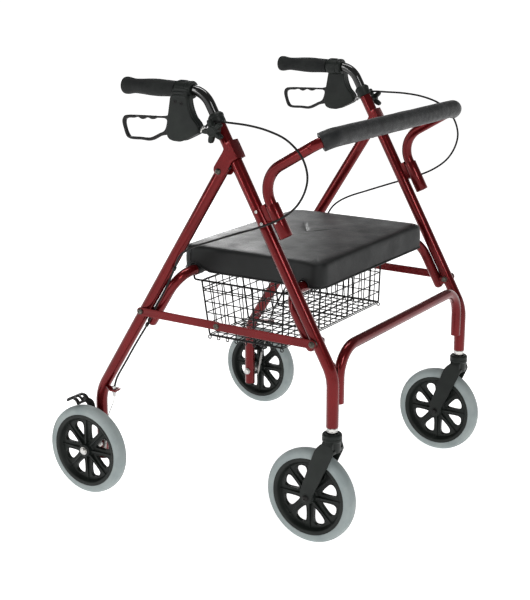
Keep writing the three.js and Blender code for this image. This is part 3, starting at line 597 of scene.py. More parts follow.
# Front frame --------------------------------------------------------------------------------------
def make_front_frame():
    for side, s in SIDES:
        bm = bmesh.new()
        path = bent([at(s * LEG_X, p) for p in (LEG_FOOT, LEG_BEND, LEG_TOP)], 90)
        sweep(bm, path, LEG_R, 36, bore=11.2, lip=1.0)
        piece(f"front_leg_tube_{side}", bm, PAINT, "frame", [f"front_leg_{side}"], 40)

        bm = bmesh.new()  # folded bracket: two cheeks and the wall round the leg's front
        ear = [(55, -16), (94, -16), (94, -1), (106, 18), (112, 33), (108, 42), (100, 47.5), (91, 47.5),
               (85, 43),
               (66, 5), (55, 2)]
        ear = softened([leg_line(*p) for p in ear], 2, 0.14)
        for inner in (-16, 13.4):
            plate(bm, ear, s * LEG_X + inner, s * LEG_X + inner + 2.6, 0.9)
        wall = softened([leg_line(*p) for p in ((55, -16), (94, -16), (94, -13.4), (55, -13.4))], 1, 0.1)
        plate(bm, wall, s * LEG_X - 15.4, s * LEG_X + 15.4, 0.6)
        piece(f"upper_bracket_plates_{side}", bm, PAINT, "frame", [f"upper_bracket_{side}"], 30)

        bm = bmesh.new()
        bolt(bm, FOLD_PIVOT, s, LEG_X - 16.4, LEG_X + 16.4, head=6.4)
        piece(f"fold_pivot_{side}", bm, BOLT, "frame", [f"fold_bolt_{side}"])

        bm = bmesh.new()  # collar that the handle tube slides through
        out = LEG_R + 2.9
        shape = [(LEG_R + 0.2, -16), (out - 0.6, -16), (out, -14), (out, -3), (out + 0.8, -2), (out + 0.8, 3),
                 (out - 0.4, 4.5), (LEG_R - 0.4, 7.6), (HANDLE_R + 0.3, 7.6), (HANDLE_R + 0.3, 3),
                 (LEG_R + 0.2, 0.8),
                 (LEG_R + 0.2, -16)]
        lean = (at(0, leg_line(-1)) - at(0, leg_line(0))).normalized()
        lathe(bm, rounded_profile(shape, 0.6), at(s * LEG_X, LEG_TOP), lean, 40)
        piece(f"height_collar_ring_{side}", bm, PLASTIC, "frame", [f"height_collar_{side}"])

        bm = bmesh.new()  # welded sleeve for the back bar
        top = up_leg(SOCKET_LOW, SOCKET_LENGTH)
        sweep(bm, [at(s * LEG_X, SOCKET_LOW), at(s * LEG_X, up_leg(SOCKET_LOW, 35)), at(s * LEG_X, top)],
              SOCKET_R, 36,
              bore=11.9, depth=8)
        web = [leg_line(196, -12), leg_line(236, -12), leg_line(236, -23.5), leg_line(196, -23.5)]
        plate(bm, web, s * LEG_X - 6, s * LEG_X + 6, 1.2)
        piece(f"back_sleeve_{side}", bm, PAINT, "frame", [f"back_socket_{side}"])

        bm = bmesh.new()  # rivets through leg and web
        for below in (203, 229):
            dome(bm, at(s * (LEG_X + LEG_R - 0.6), leg_line(below, -2)), Vector((s, 0, 0)), 3.6, 2.2)
        piece(f"sleeve_rivets_{side}", bm, ZINC, "frame")

        bm = bmesh.new()
        button = up_leg(SOCKET_LOW, BUTTON_UP)
        profile = [(0, 0), (4.4, 0), (4.4, 1.4), (2.9, 1.6), (2.9, 10.6), (2.6, 11.6), (1.7, 12.3), (0, 12.5)]
        lathe(bm, rounded_profile(profile, 0.3), at(s * (LEG_X + 4), button), "x", 20, s)
        piece(f"back_pin_{side}", bm, ZINC, f"button_{side}", [f"back_button_{side}"])

    bm = bmesh.new()
    x = LEG_X - LEG_R - TUBE_R - 0.4
    corners = [Vector((-x, FRONT_Y, 298)), Vector((-x, FRONT_Y, 408)), Vector((x, FRONT_Y, 408)),
               Vector((x, FRONT_Y, 298))]
    sweep(bm, bent(corners, 60), TUBE_R, 32, bore=9.4)
    piece("lower_cross_bar", bm, PAINT, "frame", ["lower_cross_tube"])

    bm = bmesh.new()  # weld beads where the cross bar meets the legs
    rng = random.Random(4)
    for _, s in SIDES:
        for y, out in ((FRONT_Y - 4.5, -1), (FRONT_Y + 4.5, 1)):
            for low in (304, 352):
                bead = [Vector((s * (LEG_X - LEG_R + 0.2), y + rng.uniform(-0.3, 0.3),
                                low + 3 * k)) for k in range(12)]
                sweep(bm, bead, [1.6 + 0.45 * math.sin(k * 2.2) + rng.uniform(-0.2,
                                                                              0.2) for k in range(12)], 8)
    piece("cross_bar_welds", bm, PAINT, "frame", smooth=60)


def domed(path, radius, depth, steps=6):
    """A path and its radii, with both ends drawn in to a dome of that depth inside the path."""
    points, radii = list(path), [radius] * len(path)
    for end, inner in ((0, 1), (-1, -2)):
        out = (points[end] - points[inner]).normalized()
        base = points[end] - out * depth
        cap = [(base + out * (depth * math.sin(a)), radius * math.cos(a))
               for a in (math.pi / 2 * k / steps for k in range(steps))]
        cap.append((base + out * depth, 0.4))
        if end == 0:
            points[:1], radii[:1] = [p for p, _ in cap[::-1]], [r for _, r in cap[::-1]]
        else:
            points[-1:], radii[-1:] = [p for p, _ in cap], [r for _, r in cap]
    return points, radii


def make_seat_tubes():
    for name, foot, bar, pivot, lug, body in (
            ("front", SEAT_FRONT_FOOT, SEAT_BAR_FRONT, LINK_FRONT, LUG_FRONT, "frame"),
            ("rear", SEAT_REAR_FOOT, SEAT_BAR_REAR, LINK_REAR, LUG_REAR, "rear_frame")):
        corners = [at(-SEAT_TUBE_X, foot), at(-SEAT_TUBE_X, bar), at(SEAT_TUBE_X, bar), at(SEAT_TUBE_X, foot)]
        points, radii = domed(bent(corners, SEAT_TUBE_BEND), TUBE_R, 9)
        bm = bmesh.new()
        sweep(bm, points, radii, 32, lip=0)
        for _, s in SIDES:
            hole = circle(pivot, 4.2, 20)[::-1]
            plate(bm, strap_outline(pivot, lug, LUG_R), s * LUG_INNER, s * LUG_OUTER, 0.5, [hole])
        piece(f"seat_{name}_bar", bm, PAINT, body, [f"seat_tube_{name}"])

    bm = bmesh.new()  # taped sleeves where the seat rests on the rear bar
    for _, s in SIDES:
        line = [Vector((s * (212 + 3 * k), SEAT_BAR_REAR[0], SEAT_BAR_REAR[1])) for k in range(8)]
        sweep(bm, line, [TUBE_R + 0.9 + 0.25 * (k % 2) for k in range(8)], 28, lip=0.4)
    piece("seat_rest_sleeves", bm, SHEATH, "rear_frame")


def make_rear_frame():
    for side, s in SIDES:
        dy, dz = FOLD_PIVOT[0] - REAR_BEND[0], FOLD_PIVOT[1] - REAR_BEND[1]
        size = math.hypot(dy, dz)
        top = (FOLD_PIVOT[0] + dy / size * 12, FOLD_PIVOT[1] + dz / size * 12)
        bm = bmesh.new()
        path = bent([at(s * LEG_X, p) for p in (REAR_FOOT, REAR_BEND, top)], 100)
        sweep(bm, path, LEG_R, 36, bore=11.2, lip=1.0)
        hole = circle((s * CABLE_STOP[0], CABLE_STOP[1]), 3.5, 20)
        outline = [(s * 304, 212), (s * 311, 210), (s * 326, 210), (s * 326, 228), (s * 309, 254),
                   (s * 304, 254)]
        turn = Matrix(((0, 1, 0, 0), (0, 0, 1, 0), (1, 0, 0, 0), (0, 0, 0, 1)))
        plate(bm, softened(outline if s > 0 else outline[::-1], 2, 0.12), 235, 239, 0.7, [hole[::-1]], turn)
        piece(f"rear_leg_tube_{side}", bm, PAINT, "rear_frame", [f"rear_leg_{side}"], 40)

        bm = bmesh.new()  # plug in the leg's foot
        lathe(bm, rounded_profile([(0, 63), (10, 63), (12.4, 64.5), (12.4, 66), (0, 66)], 0.8),
              Vector((s * LEG_X, REAR_Y, 0)), "z", 32)
        up = (at(0, top) - at(0, FOLD_PIVOT)).normalized()
        cap = [(0, -1), (12.4, -1), (12.7, 0), (12.7, 2), (11.6, 4.2), (8, 5.6), (0, 6)]
        lathe(bm, rounded_profile(cap, 0.6), at(s * LEG_X, top), up, 32)
        piece(f"rear_leg_plug_{side}", bm, PLASTIC, "rear_frame")

        bm = bmesh.new()
        wheel_y = (REAR_Y, WHEEL_R)
        hub = REAR_WHEEL_X + HUB_HALF + 0.4
        bolt(bm, wheel_y, s, LEG_X - LEG_R - 0.4, hub, 5, 9, acorn=True)
        lathe(bm, rounded_profile([(5, LEG_X + LEG_R + 0.3), (9, LEG_X + LEG_R + 0.3),
                                   (9, REAR_WHEEL_X - HUB_HALF - 0.4),
                                   (5, REAR_WHEEL_X - HUB_HALF - 0.4)], 0.5), at(0, wheel_y), "x", 28, s)
        piece(f"rear_axle_pin_{side}", bm, ZINC, "rear_frame", [f"rear_axle_{side}"])


def make_links():
    layer_rear, layer_front, thick = 314.2, 317.9, 3
    for side, s in SIDES:
        bm = bmesh.new()
        plate(bm, strap_outline(LINK_FRONT, LINK_MIDDLE, 9), s * layer_front, s * (layer_front + thick), 0.7,
              [circle(LINK_FRONT, 4.2, 20)[::-1]])
        piece(f"link_front_bar_{side}", bm, PAINT, "front_links", [f"side_link_front_{side}"])
        bm = bmesh.new()
        plate(bm, strap_outline(LINK_REAR, LINK_MIDDLE, 9), s * layer_rear, s * (layer_rear + thick), 0.7,
              [circle(LINK_REAR, 4.2, 20)[::-1]])
        piece(f"link_rear_bar_{side}", bm, PAINT, "rear_links", [f"side_link_rear_{side}"])

        out = Vector((s, 0, 0))
        bm = bmesh.new()
        washer(bm, at(s * (layer_front + thick), LINK_MIDDLE), out, 6.2, 2)
        dome(bm, at(s * (layer_front + thick + 1.2), LINK_MIDDLE), out, 5, 2.8)
        piece(f"link_middle_head_{side}", bm, BOLT, "front_links")
        bm = bmesh.new()
        hexagon(bm, at(s * layer_rear, LINK_MIDDLE), -out, 6.4, 4)
        piece(f"link_middle_nut_{side}", bm, BOLT, "rear_links")

        bm = bmesh.new()
        bolt(bm, LINK_FRONT, s, LINK_NUT_X, layer_front + thick + 0.4, head=6.8)
        spacer = [(4, LEG_X + LEG_R + 0.3), (8, LEG_X + LEG_R + 0.3), (8, layer_front - 0.4),
                  (4, layer_front - 0.4)]
        lathe(bm, spacer, at(0, LINK_FRONT), "x", 24, s)
        piece(f"link_front_pivot_{side}", bm, BOLT, "frame", [f"link_bolt_front_{side}"])
        bm = bmesh.new()
        bolt(bm, LINK_REAR, s, LINK_NUT_X, layer_rear + thick + 0.4, head=6.4)
        piece(f"link_rear_pivot_{side}", bm, BOLT, "rear_frame", [f"link_bolt_rear_{side}"])


# Wheels and casters -------------------------------------------------------------------------------
def make_wheel(kind, side, centre, body):
    """A grey tyre on a dished plastic rim with eight teardrop openings."""
    bm = bmesh.new()
    shape = [(RIM_R, -WHEEL_HALF + 0.6), (RIM_R + 1.2, -WHEEL_HALF), (RIM_R + 9, -WHEEL_HALF),
             (RIM_R + 13, -13.2),
             (RIM_R + 16.4, -9.6), (WHEEL_R - 0.3, -4.5), (WHEEL_R, 0), (WHEEL_R - 0.3, 4.5),
             (RIM_R + 16.4, 9.6),
             (RIM_R + 13, 13.2), (RIM_R + 9, WHEEL_HALF), (RIM_R + 1.2, WHEEL_HALF),
             (RIM_R, WHEEL_HALF - 0.6),
             (RIM_R, -WHEEL_HALF + 0.6)]
    lathe(bm, rounded_profile(shape, 1.6), centre, "x", 96)
    piece(f"{kind}_wheel_tyre_{side}", bm, TYRE, body, [f"{kind}_tyre_{side}"], 50)

    def spot(angle, r, w):
        return (centre[1] + r * math.cos(angle) - w * math.sin(angle),
                centre[2] + r * math.sin(angle) + w * math.cos(angle))

    bm = bmesh.new()
    drop = [(27.5, -2.2), (27.5, 2.2), (42, 9.3), (54, 13.2), (61, 11.6), (64.5, 6), (65.5, 0), (64.5, -6),
            (61, -11.6),
            (54, -13.2), (42, -9.3)]
    angles = [(i + 0.5) * math.pi / 4 for i in range(8)]
    holes = [[tuple(p) for p in spline([spot(a, r, w) for r, w in drop], 3, closed=True)] for a in angles]
    middle = (centre[1], centre[2])
    plate(bm, circle(middle, 71, 96), centre[0] - 4, centre[0] + 4, 1.0, holes)
    channel = [(69, -4), (70.5, -6), (73.5, -12.6), (75.5, -14.2), (RIM_R + 0.4, -14.2), (RIM_R + 0.4, 14.2),
               (75.5, 14.2), (73.5, 12.6), (70.5, 6), (69, 4), (69, -4)]
    lathe(bm, rounded_profile(channel, 0.9), centre, "x", 96)
    hub = [(5.6, -HUB_HALF), (12.4, -HUB_HALF), (14, -HUB_HALF + 1.5), (15.4, -7), (19, -3.8), (19, 3.8),
           (15.4, 7),
           (14, HUB_HALF - 1.5), (12.4, HUB_HALF), (5.6, HUB_HALF), (5.6, -HUB_HALF)]
    lathe(bm, rounded_profile(hub, 0.7), centre, "x", 48)
    for i in range(8):  # ribs between the openings, deepest at the hub
        a = i * math.pi / 4
        outline = [spot(a, 14, -1.7), spot(a, 72, -1.2), spot(a, 72, 1.2), spot(a, 14, 1.7)]
        for way in (-1, 1):
            start = len(bm.verts)
            plate(bm, outline, centre[0] + way * 3.2, centre[0] + way * 11, 0.7)
            bm.verts.ensure_lookup_table()
            for v in bm.verts[start:]:  # the rib's free edge slopes down towards the rim
                reach = math.hypot(v.co.y - middle[0], v.co.z - middle[1])
                high = abs(v.co.x - centre[0])
                if high > 5:
                    v.co.x = centre[0] + way * (high - 5.2 * min(1, max(0, (reach - 14) / 58)) ** 0.7)
    for a in angles:  # a low lip round each opening
        lip = [Vector((0, *spot(a, r - 0.2, w * 1.04))) for r, w in drop]
        for way in (-1, 1):
            ring = [Vector((centre[0] + way * 4, p.y, p.z)) for p in spline(lip, 3, closed=True)]
            sweep(bm, ring, 1.0, 8, closed=True)
    piece(f"{kind}_wheel_rim_{side}", bm, PLASTIC, body, [f"{kind}_rim_{side}"], 40)


def make_wheels():
    for side, s in SIDES:
        make_wheel("rear", side, at(s * REAR_WHEEL_X, (REAR_Y, WHEEL_R)), f"rear_wheel_{side}")
        make_wheel("caster", side, at(s * LEG_X, (FRONT_Y + TRAIL, WHEEL_R)), f"caster_wheel_{side}")


def make_casters():
    axle = (FRONT_Y + TRAIL, WHEEL_R)
    for side, s in SIDES:
        x = s * LEG_X
        foot = Vector((x, FRONT_Y, 0))
        bm = bmesh.new()
        lathe(bm, rounded_profile([(0, 212), (6, 212), (6, 244), (10.6, 245), (11, 246), (11, 248),
                                   (9.4, 248.4),
                                   (9.4, 254.4), (10.2, 254.6), (10.2, 285), (0, 285)], 0.5), foot, "z", 32)
        hexagon(bm, Vector((x, FRONT_Y, 246.5)), "z", 11.6, 7.4)
        piece(f"caster_stem_nut_{side}", bm, ZINC, "frame", [f"caster_stem_{side}"])

        bm = bmesh.new()
        head = [(6.6, 204), (16.6, 204), (17.2, 206), (18.0, 225.5), (19.6, 227), (20.2, 228.2),
                (20.2, 232.6),
                (19.4, 233.2), (19.4, 234.2), (20.2, 234.8), (20.2, 239.4), (19.4, 241.4), (17.6, 243.3),
                (12.6, 243.6),
                (11.9, 242.4), (11.9, 236), (6.6, 236), (6.6, 204)]
        lathe(bm, rounded_profile(head, 0.6), foot, "z", 48)
        block(bm, (x - 22.4, FRONT_Y - 15, 203.8), (x + 22.4, FRONT_Y + 23, 212.4), 2.4, 3)
        shoulder = [(FRONT_Y - 15, 208), (FRONT_Y - 10, 223), (FRONT_Y + 12, 225), (FRONT_Y + 23, 214),
                    (FRONT_Y + 29, 204), (axle[0] + 13.6, axle[1] + 14)]
        lower = [(axle[0] + 13.6 * math.cos(a), axle[1] + 13.6 * math.sin(a))
                 for a in (-math.pi / 10 * k for k in range(0, 10))]
        blade = shoulder + lower + [(axle[0] - 14.6, axle[1] + 6), (FRONT_Y - 3.5, 180), (FRONT_Y - 14, 204)]
        blade = softened(blade, 2, 0.15)
        for inner in (-23, 19):
            plate(bm, blade, x + inner, x + inner + 4, 1.1)
        for way in (-1, 1):  # gussets that carry the head's load into the blades
            corner = Matrix.Translation((x, FRONT_Y, 0)) @ Matrix.Rotation(math.pi / 2, 4, "Z")
            gusset = [(way * 12, 210), (way * 22, 210), (way * 22, 224), (way * 18.5, 229), (way * 14, 229)]
            outline = gusset if way > 0 else gusset[::-1]
            plate(bm, outline, -12, 12, 2, turn=corner)
            boss = circle(axle, 10.4, 32)
            plate(bm, boss, x + way * 20, x + way * 23.3, 0.8)
        piece(f"caster_fork_body_{side}", bm, PLASTIC, f"caster_{side}", [f"caster_fork_{side}"], 40)

        bm = bmesh.new()
        bolt(bm, axle, s, LEG_X - 23.4, LEG_X + 23.4, 5, 7.2)
        for way in (-1, 1):
            lathe(bm, [(5.2, 0), (8, 0), (8, 1.6), (5.2, 1.6), (5.2, 0)], at(x + way * 17.2, axle),
                  Vector((way, 0, 0)), 24)
        piece(f"caster_axle_pin_{side}", bm, BLACK_STEEL, f"caster_{side}", [f"caster_axle_{side}"])


# Back bar -----------------------------------------------------------------------------------------
def make_back_bar():
    knee = up_leg(SOCKET_LOW, BACK_RISE)
    foot = up_leg(SOCKET_LOW, 4)
    right = [at(-LEG_X, p) for p in (foot, knee, BACK_BAR)]
    left = [at(LEG_X, p) for p in (BACK_BAR, knee, foot)]
    bm = bmesh.new()
    sweep(bm, bent(right + left, [55, BACK_RADIUS, BACK_RADIUS, 55]), TUBE_R, 32, bore=9.4)
    piece("back_bar_tube", bm, PAINT, "frame", ["back_tube"], 40)

    incoming = (at(0, BACK_BAR) - at(0, knee)).normalized()
    covered = math.radians(50)
    reach = BACK_RADIUS * math.tan(covered / 2)
    corner_x = LEG_X - BACK_RADIUS + reach

    def foam_end(s):
        heading = incoming * math.sin(covered) + Vector((-s * math.cos(covered), 0, 0))
        return at(s * corner_x, BACK_BAR) - heading * (reach + 0.5)

    line = bent([foam_end(-1), at(-corner_x, BACK_BAR), at(corner_x, BACK_BAR), foam_end(1)], BACK_RADIUS, 4)
    fine = []
    for a, b in zip(line, line[1:]):  # the long straight needs points for its unevenness
        count = max(1, round((b - a).length / 7))
        fine += [a + (b - a) * (k / count) for k in range(count)]
    fine.append(line[-1])
    radii = [FOAM_R - 0.5 + 0.5 * noise.noise(p * 0.022) for p in fine]
    bm = bmesh.new()
    sweep(bm, fine, radii, 48, bore=TUBE_R + 1.4, depth=8, lip=1.6)
    foam = piece("back_bar_foam", bm, FOAM, "frame", ["back_foam"], 50)


# Handles and brakes -------------------------------------------------------------------------------
def make_handles():
    for side, s in SIDES:
        body = f"handle_{side}"
        uy, uz = leg_line(-1)[0] - LEG_TOP[0], leg_line(-1)[1] - LEG_TOP[1]
        rise = (GRIP_Z - LEG_TOP[1]) / uz
        bend = (LEG_TOP[0] + uy * rise, GRIP_Z)
        bm = bmesh.new()
        path = bent([at(s * LEG_X, p) for p in (leg_line(180), bend, (GRIP_REAR - 6, GRIP_Z))], HANDLE_BEND,
                    4)
        sweep(bm, path, HANDLE_R, 32, bore=9)
        piece(f"handle_stem_{side}", bm, BLACK_TUBE, body, [f"handle_tube_{side}"], 40)

        bm = bmesh.new()
        front, rear = GRIP_FRONT, GRIP_REAR
        shape = [(15.2, front), (15.9, front + 2.5), (16.0, front + 8), (16.6, front + 24),
                 (17.5, front + 44),
                 (16.9, front + 66), (15.4, front + 88), (14.9, front + 103), (16.2, front + 113),
                 (17.5, front + 120),
                 (17.5, rear - 5), (16.6, rear - 2), (14.6, rear - 0.6)]
        profile = [tuple(p) for p in spline(shape, 4)]
        lathe(bm, [(11, front + 6), (11, front)] + profile + [(6, rear - 0.2), (0, rear)],
              Vector((s * LEG_X, 0, GRIP_Z)), "y", 48)
        piece(f"grip_sleeve_{side}", bm, GRIP, body, [f"grip_{side}"], 50)

        make_housing(side, s, body)
        make_lever(side, s)
        make_knob(side, s)
        make_brake_arm(side, s)


def make_housing(side, s, body):
    inner, outer, slot_inner, slot_outer = 302, 326, 308.6, 319.4
    shield = [(47, 889), (51.5, 863), (56, 838), (58.5, 820), (57, 804), (51, 798.5), (42, 796),
              (23, 795.6), (-2, 807),
              (-19, 815.5), (-20, 826.5), (-15.6, 834.6), (-4, 846), (3, 862), (6, 874), (7, 889)]
    shield = softened(shield, 2, 0.18)
    bm = bmesh.new()
    for x0, x1 in ((inner, slot_inner), (slot_outer, outer)):
        plate(bm, shield, s * x0, s * x1, 2.6)
    for rise, reach in ((895, 323.2), (902, 319.6)):  # the shield's face runs up into the clamp in soft steps
        crest = softened([(46.5, 872), (46.5, rise), (8, rise), (8, 872)], 2, 0.12)
        plate(bm, crest, s * 305, s * reach, 2.6)
    wall = [(8, 877), (8.4, 888), (46, 888), (48.5, 877.5)]
    plate(bm, wall, s * slot_inner - s * 0.5, s * slot_outer + s * 0.5, 0.4)
    front = [(-18.6, 816.6), (-19.4, 826.2), (-15.2, 834.2), (-3.6, 845.4), (3.4, 861.8), (6.4, 874),
             (7.2, 886),
             (13, 886), (13, 802), (-2, 808)]
    plate(bm, front, s * slot_inner - s * 0.5, s * slot_outer + s * 0.5, 0.4)
    bore = HANDLE_R + 0.5
    collar = [(bore, 7), (16, 7), (17.4, 8.2), (17.9, 11), (17.9, 17), (17.2, 17.8), (17.2, 20.4),
              (17.9, 21.2), (17.9, 40),
              (17.2, 44), (15.4, 46), (bore, 46), (bore, 7)]
    lathe(bm, rounded_profile(collar, 0.7), Vector((s * LEG_X, 0, GRIP_Z)), "y", 48)
    for k in range(7):  # raised beads over the top of the clamp
        a = math.radians(62 + 9 * k)
        line = [Vector((s * LEG_X + 17.6 * math.cos(a), y, GRIP_Z + 17.6 * math.sin(a))) for y in (24, 32,
                                                                                                   40)]
        sweep(bm, line, 1.1, 8, lip=0.5)
    pin = [(0, slot_inner - 2), (3, slot_inner - 2), (3, slot_outer + 2), (0, slot_outer + 2)]
    lathe(bm, pin, at(0, LEVER_PIVOT), "x", 20, s)
    nose = [(0, -6), (7.8, -6), (7.2, 0), (6.2, 4), (5.6, 5), (0, 5)]
    tip = Vector((s * 315, -14, 821))
    lathe(bm, rounded_profile(nose, 0.8), tip, Vector((0, -1, 0.12)).normalized(), 32)
    piece(f"brake_housing_shell_{side}", bm, PLASTIC, body, [f"brake_housing_{side}"], 35)

    bm = bmesh.new()  # two cover screws, sunk in their own rings
    for place in ((34.5, 875), (20, 872)):
        out = Vector((s, 0, 0))
        washer(bm, at(s * (outer - 0.3), place), out, 4.2, 2.6, 0.9)
        dome(bm, at(s * (outer - 0.4), place), out, 2.8, 1.0)
    piece(f"housing_screws_{side}", bm, BLACK_STEEL, body)


def make_lever(side, s):
    """The loop that the fingers pull, with scallops along its upper bar."""
    outer = [(22, 860), (30, 869), (42, 868), (52, 852), (66, 843.8), (97, 842.2), (126, 841.2), (161, 839.6),
             (171.5, 836.2), (176, 826), (172, 810), (166, 796), (156, 791), (141, 790.6), (128, 791.2),
             (110, 790.4),
             (98, 792.5), (87, 797.6), (76, 803), (56, 808), (44, 820), (34, 836), (24, 850)]
    hole = [(62, 834), (66, 819), (72, 812.4), (82, 808), (90, 804), (101, 799), (112, 796.6), (129, 796.8),
            (146, 796.2), (156, 796.4), (161, 800), (166, 810), (169, 823), (166.6, 830.4), (157, 833.8),
            (145, 834.4),
            (139, 836.2), (133, 836.2), (127, 833.6), (121, 833.4), (114, 836.8), (108, 837), (101, 834.8),
            (94, 835.2),
            (88, 838), (76, 838.6), (67, 838.4)]
    outer = [tuple(p) for p in spline(outer, 3, closed=True)]
    hole = [tuple(p) for p in spline(hole, 3, closed=True)]
    bm = bmesh.new()
    plate(bm, outer, s * 309.4, s * 318.6, 2.2, [hole[::-1], circle(LEVER_PIVOT, 3.4, 16)[::-1]])
    piece(f"lever_loop_{side}", bm, LEVER, f"lever_{side}", [f"brake_lever_{side}"], 40)


def make_knob(side, s):
    """A star knob with five arms, and the stud that it screws in."""
    centre = leg_line(KNOB_BELOW_TOP)
    arms, reach, waist, per_arm = 5, 24, 9.5, 18
    outline = []
    for i in range(arms * per_arm):
        a = 2 * math.pi * i / (arms * per_arm)
        swell = (0.5 + 0.5 * math.cos(arms * a)) ** 1.15
        r = waist + (reach - waist) * min(1, swell * 1.12)
        outline.append((centre[0] + r * math.cos(a - 0.07), centre[1] + r * math.sin(a - 0.07)))
    bm = bmesh.new()
    plate(bm, outline, s * 323, s * 336, 3.2)
    wall = LEG_X + LEG_R
    shape = [(4, wall + 1.2), (8.4, wall + 1.2), (8.8, wall + 2.4), (9.2, 323), (11, 326), (11, 336.2),
             (9.6, 337.6),
             (7.4, 337.6), (6.4, 336.6), (0, 336.6)]
    lathe(bm, rounded_profile(shape, 0.5), at(0, centre), "x", 32, s)
    piece(f"knob_star_{side}", bm, PLASTIC, f"knob_{side}", [f"height_knob_{side}"], 40)
    bm = bmesh.new()
    stud = [(0, wall - 1.2), (4, wall - 1.2), (4, wall + 2), (0, wall + 2)]
    lathe(bm, stud, at(0, centre), "x", 20, s)
    piece(f"knob_stud_{side}", bm, ZINC, f"knob_{side}")


def make_brake_arm(side, s):
    arm = [(232.6, 166), (232.6, 159), (240, 154.6), (272, 147.6), (279, 149), (283, 156), (291, 191),
           (305, 200),
           (305.4, 206), (302, 208), (282, 206), (274, 200), (268, 172), (262, 167.4), (244, 167.4),
           (236, 169)]
    arm = softened(arm, 2, 0.18)
    bm = bmesh.new()
    holes = [circle((239, 161), 2.4, 16)[::-1], circle((250, 160.4), 2.4, 16)[::-1]]
    plate(bm, arm, s * 321, s * 325, 0.9, holes)
    body = f"brake_arm_{side}"
    near = [(284, 203), (286, 209), (291, 214.5), (298, 217), (302, 217), (302, 213), (298, 213),
            (293, 210.5),
            (289.5, 206.5), (288.5, 202.6)]
    for x0, x1 in ((325, 333), (342, 347), (356, 364)):  # strips between the arched foot's openings
        plate(bm, softened(near, 1, 0.1), s * x0, s * x1, 0.9)
    far = [(300, 217), (306, 217), (314, 213.5), (318, 209), (317, 205), (312, 206.5), (306, 211.5),
           (300, 213)]
    plate(bm, softened(far, 1, 0.1), s * 325, s * 364, 0.9)
    low, high = sorted((s * 325, s * 364))
    block(bm, (low, 284.5, 202.6), (high, 289, 208), 1.2, 2)
    pivot = [(0, LEG_X + 4), (4, LEG_X + 4), (4, LEG_X + LEG_R + 0.6), (8, LEG_X + LEG_R + 0.8), (8, 320.6),
             (9, 321),
             (9, 326), (8, 327), (0, 327)]
    lathe(bm, rounded_profile(pivot, 0.4), at(0, ARM_PIVOT), "x", 28, s)
    piece(f"brake_arm_bar_{side}", bm, LEVER, body, [f"brake_arm_{side}"], 35)

    bm = bmesh.new()
    washer(bm, at(s * 327, ARM_PIVOT), Vector((s, 0, 0)), 7, 3)
    dome(bm, at(s * 328, ARM_PIVOT), Vector((s, 0, 0)), 5.6, 2.8)
    piece(f"brake_arm_screw_{side}", bm, ZINC, body)

    start = Vector((s * CABLE_STOP[0], CABLE_STOP[1], 226))
    end = Vector((s * 319.4, 239, 161))
    bm = bmesh.new()  # the cable's inner wire, bare between its stop and the arm
    sweep(bm, spline([start, start + Vector((0, 3, -16)), end + Vector((0, -2, 14)), end], 6), 1.0, 8,
          lip=0.1)
    wire = piece(f"inner_wire_{side}", bm, ZINC, None)
    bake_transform(wire)

    hook, anchor = Vector((s * 318, 243, 157)), Vector((s * 314, 256.4, 84))
    bm = bmesh.new()  # return spring
    line, turns, along = [], 22, (anchor - hook)
    side_a = along.normalized().orthogonal().normalized()
    side_b = along.normalized().cross(side_a)
    for k in range(turns * 10 + 1):
        t = k / (turns * 10)
        a = 2 * math.pi * turns * t
        line.append(hook + along * (0.12 + 0.76 * t) + (side_a * math.cos(a) + side_b * math.sin(a)) * 2.8)
    sweep(bm, [hook, hook + along * 0.06] + line + [hook + along * 0.94, anchor], 0.85, 6, lip=0.1)
    spring = piece(f"return_spring_{side}", bm, ZINC, None, smooth=60)
    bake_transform(spring)


# Seat ---------------------------------------------------------------------------------------------
PAD_LOW, PAD_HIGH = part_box("seat_pad")
PAD_INSET = 1
NOTCH_R = 12.5
SWELL_EVENING = 40
SKIRT_WAY = [(13, 505), (20, 507.2), (30, 510.8), (40, 515), (50, 519.6), (56, 522.8), (60, 522.8)]


def corner_outline(x0, x1, y0, y1, radius, count=8):
    points = []
    for cx, cy, start in ((x1, y1, 0), (x0, y1, 90), (x0, y0, 180), (x1, y0, 270)):
        sx, sy = (1 if cx == x1 else -1), (1 if cy == y1 else -1)
        for k in range(count + 1):
            a = math.radians(start + 90 * k / count)
            points.append((cx - sx * radius + radius * math.cos(a), cy - sy * radius + radius * math.sin(a)))
    return points


def pad_edge(x0, x1, y0, y1, radius=26, count=9):
    """Points round the pad as (x, y, inward x, inward y), closer together at the skirt's notches."""
    bars = [bar[0] + d for bar in (SEAT_BAR_FRONT, SEAT_BAR_REAR) for d in (-12.7, -12.4, -11.6, -9, -5, 0,
                                                                            5, 9, 11.6,
                                                                             12.4, 12.7)]
    spread = [y0 + radius + 6 * k for k in range(1, int((y1 - y0 - 2 * radius) / 6))]
    run_y = sorted(bars + [y for y in spread if all(abs(y - bar) > 1.5 for bar in bars)])
    run_x = [x0 + radius + (x1 - x0 - 2 * radius) * k / 72 for k in range(1, 72)]
    points = []
    for sx, sy, start in ((1, 1, 0), (-1, 1, 90), (-1, -1, 180), (1, -1, 270)):
        cx = (x1 if sx > 0 else x0) - sx * radius
        cy = (y1 if sy > 0 else y0) - sy * radius
        for k in range(count + 1):
            a = math.radians(start + 90 * k / count)
            points.append((cx + radius * math.cos(a), cy + radius * math.sin(a), -math.cos(a), -math.sin(a)))
        if start == 0:
            points += [(x, y1, 0, -1) for x in run_x[::-1]]
        elif start == 90:
            points += [(x0, y, 1, 0) for y in run_y[::-1]]
        elif start == 180:
            points += [(x, y0, 0, 1) for x in run_x]
        else:
            points += [(x1, y, -1, 0) for y in run_y]
    return points


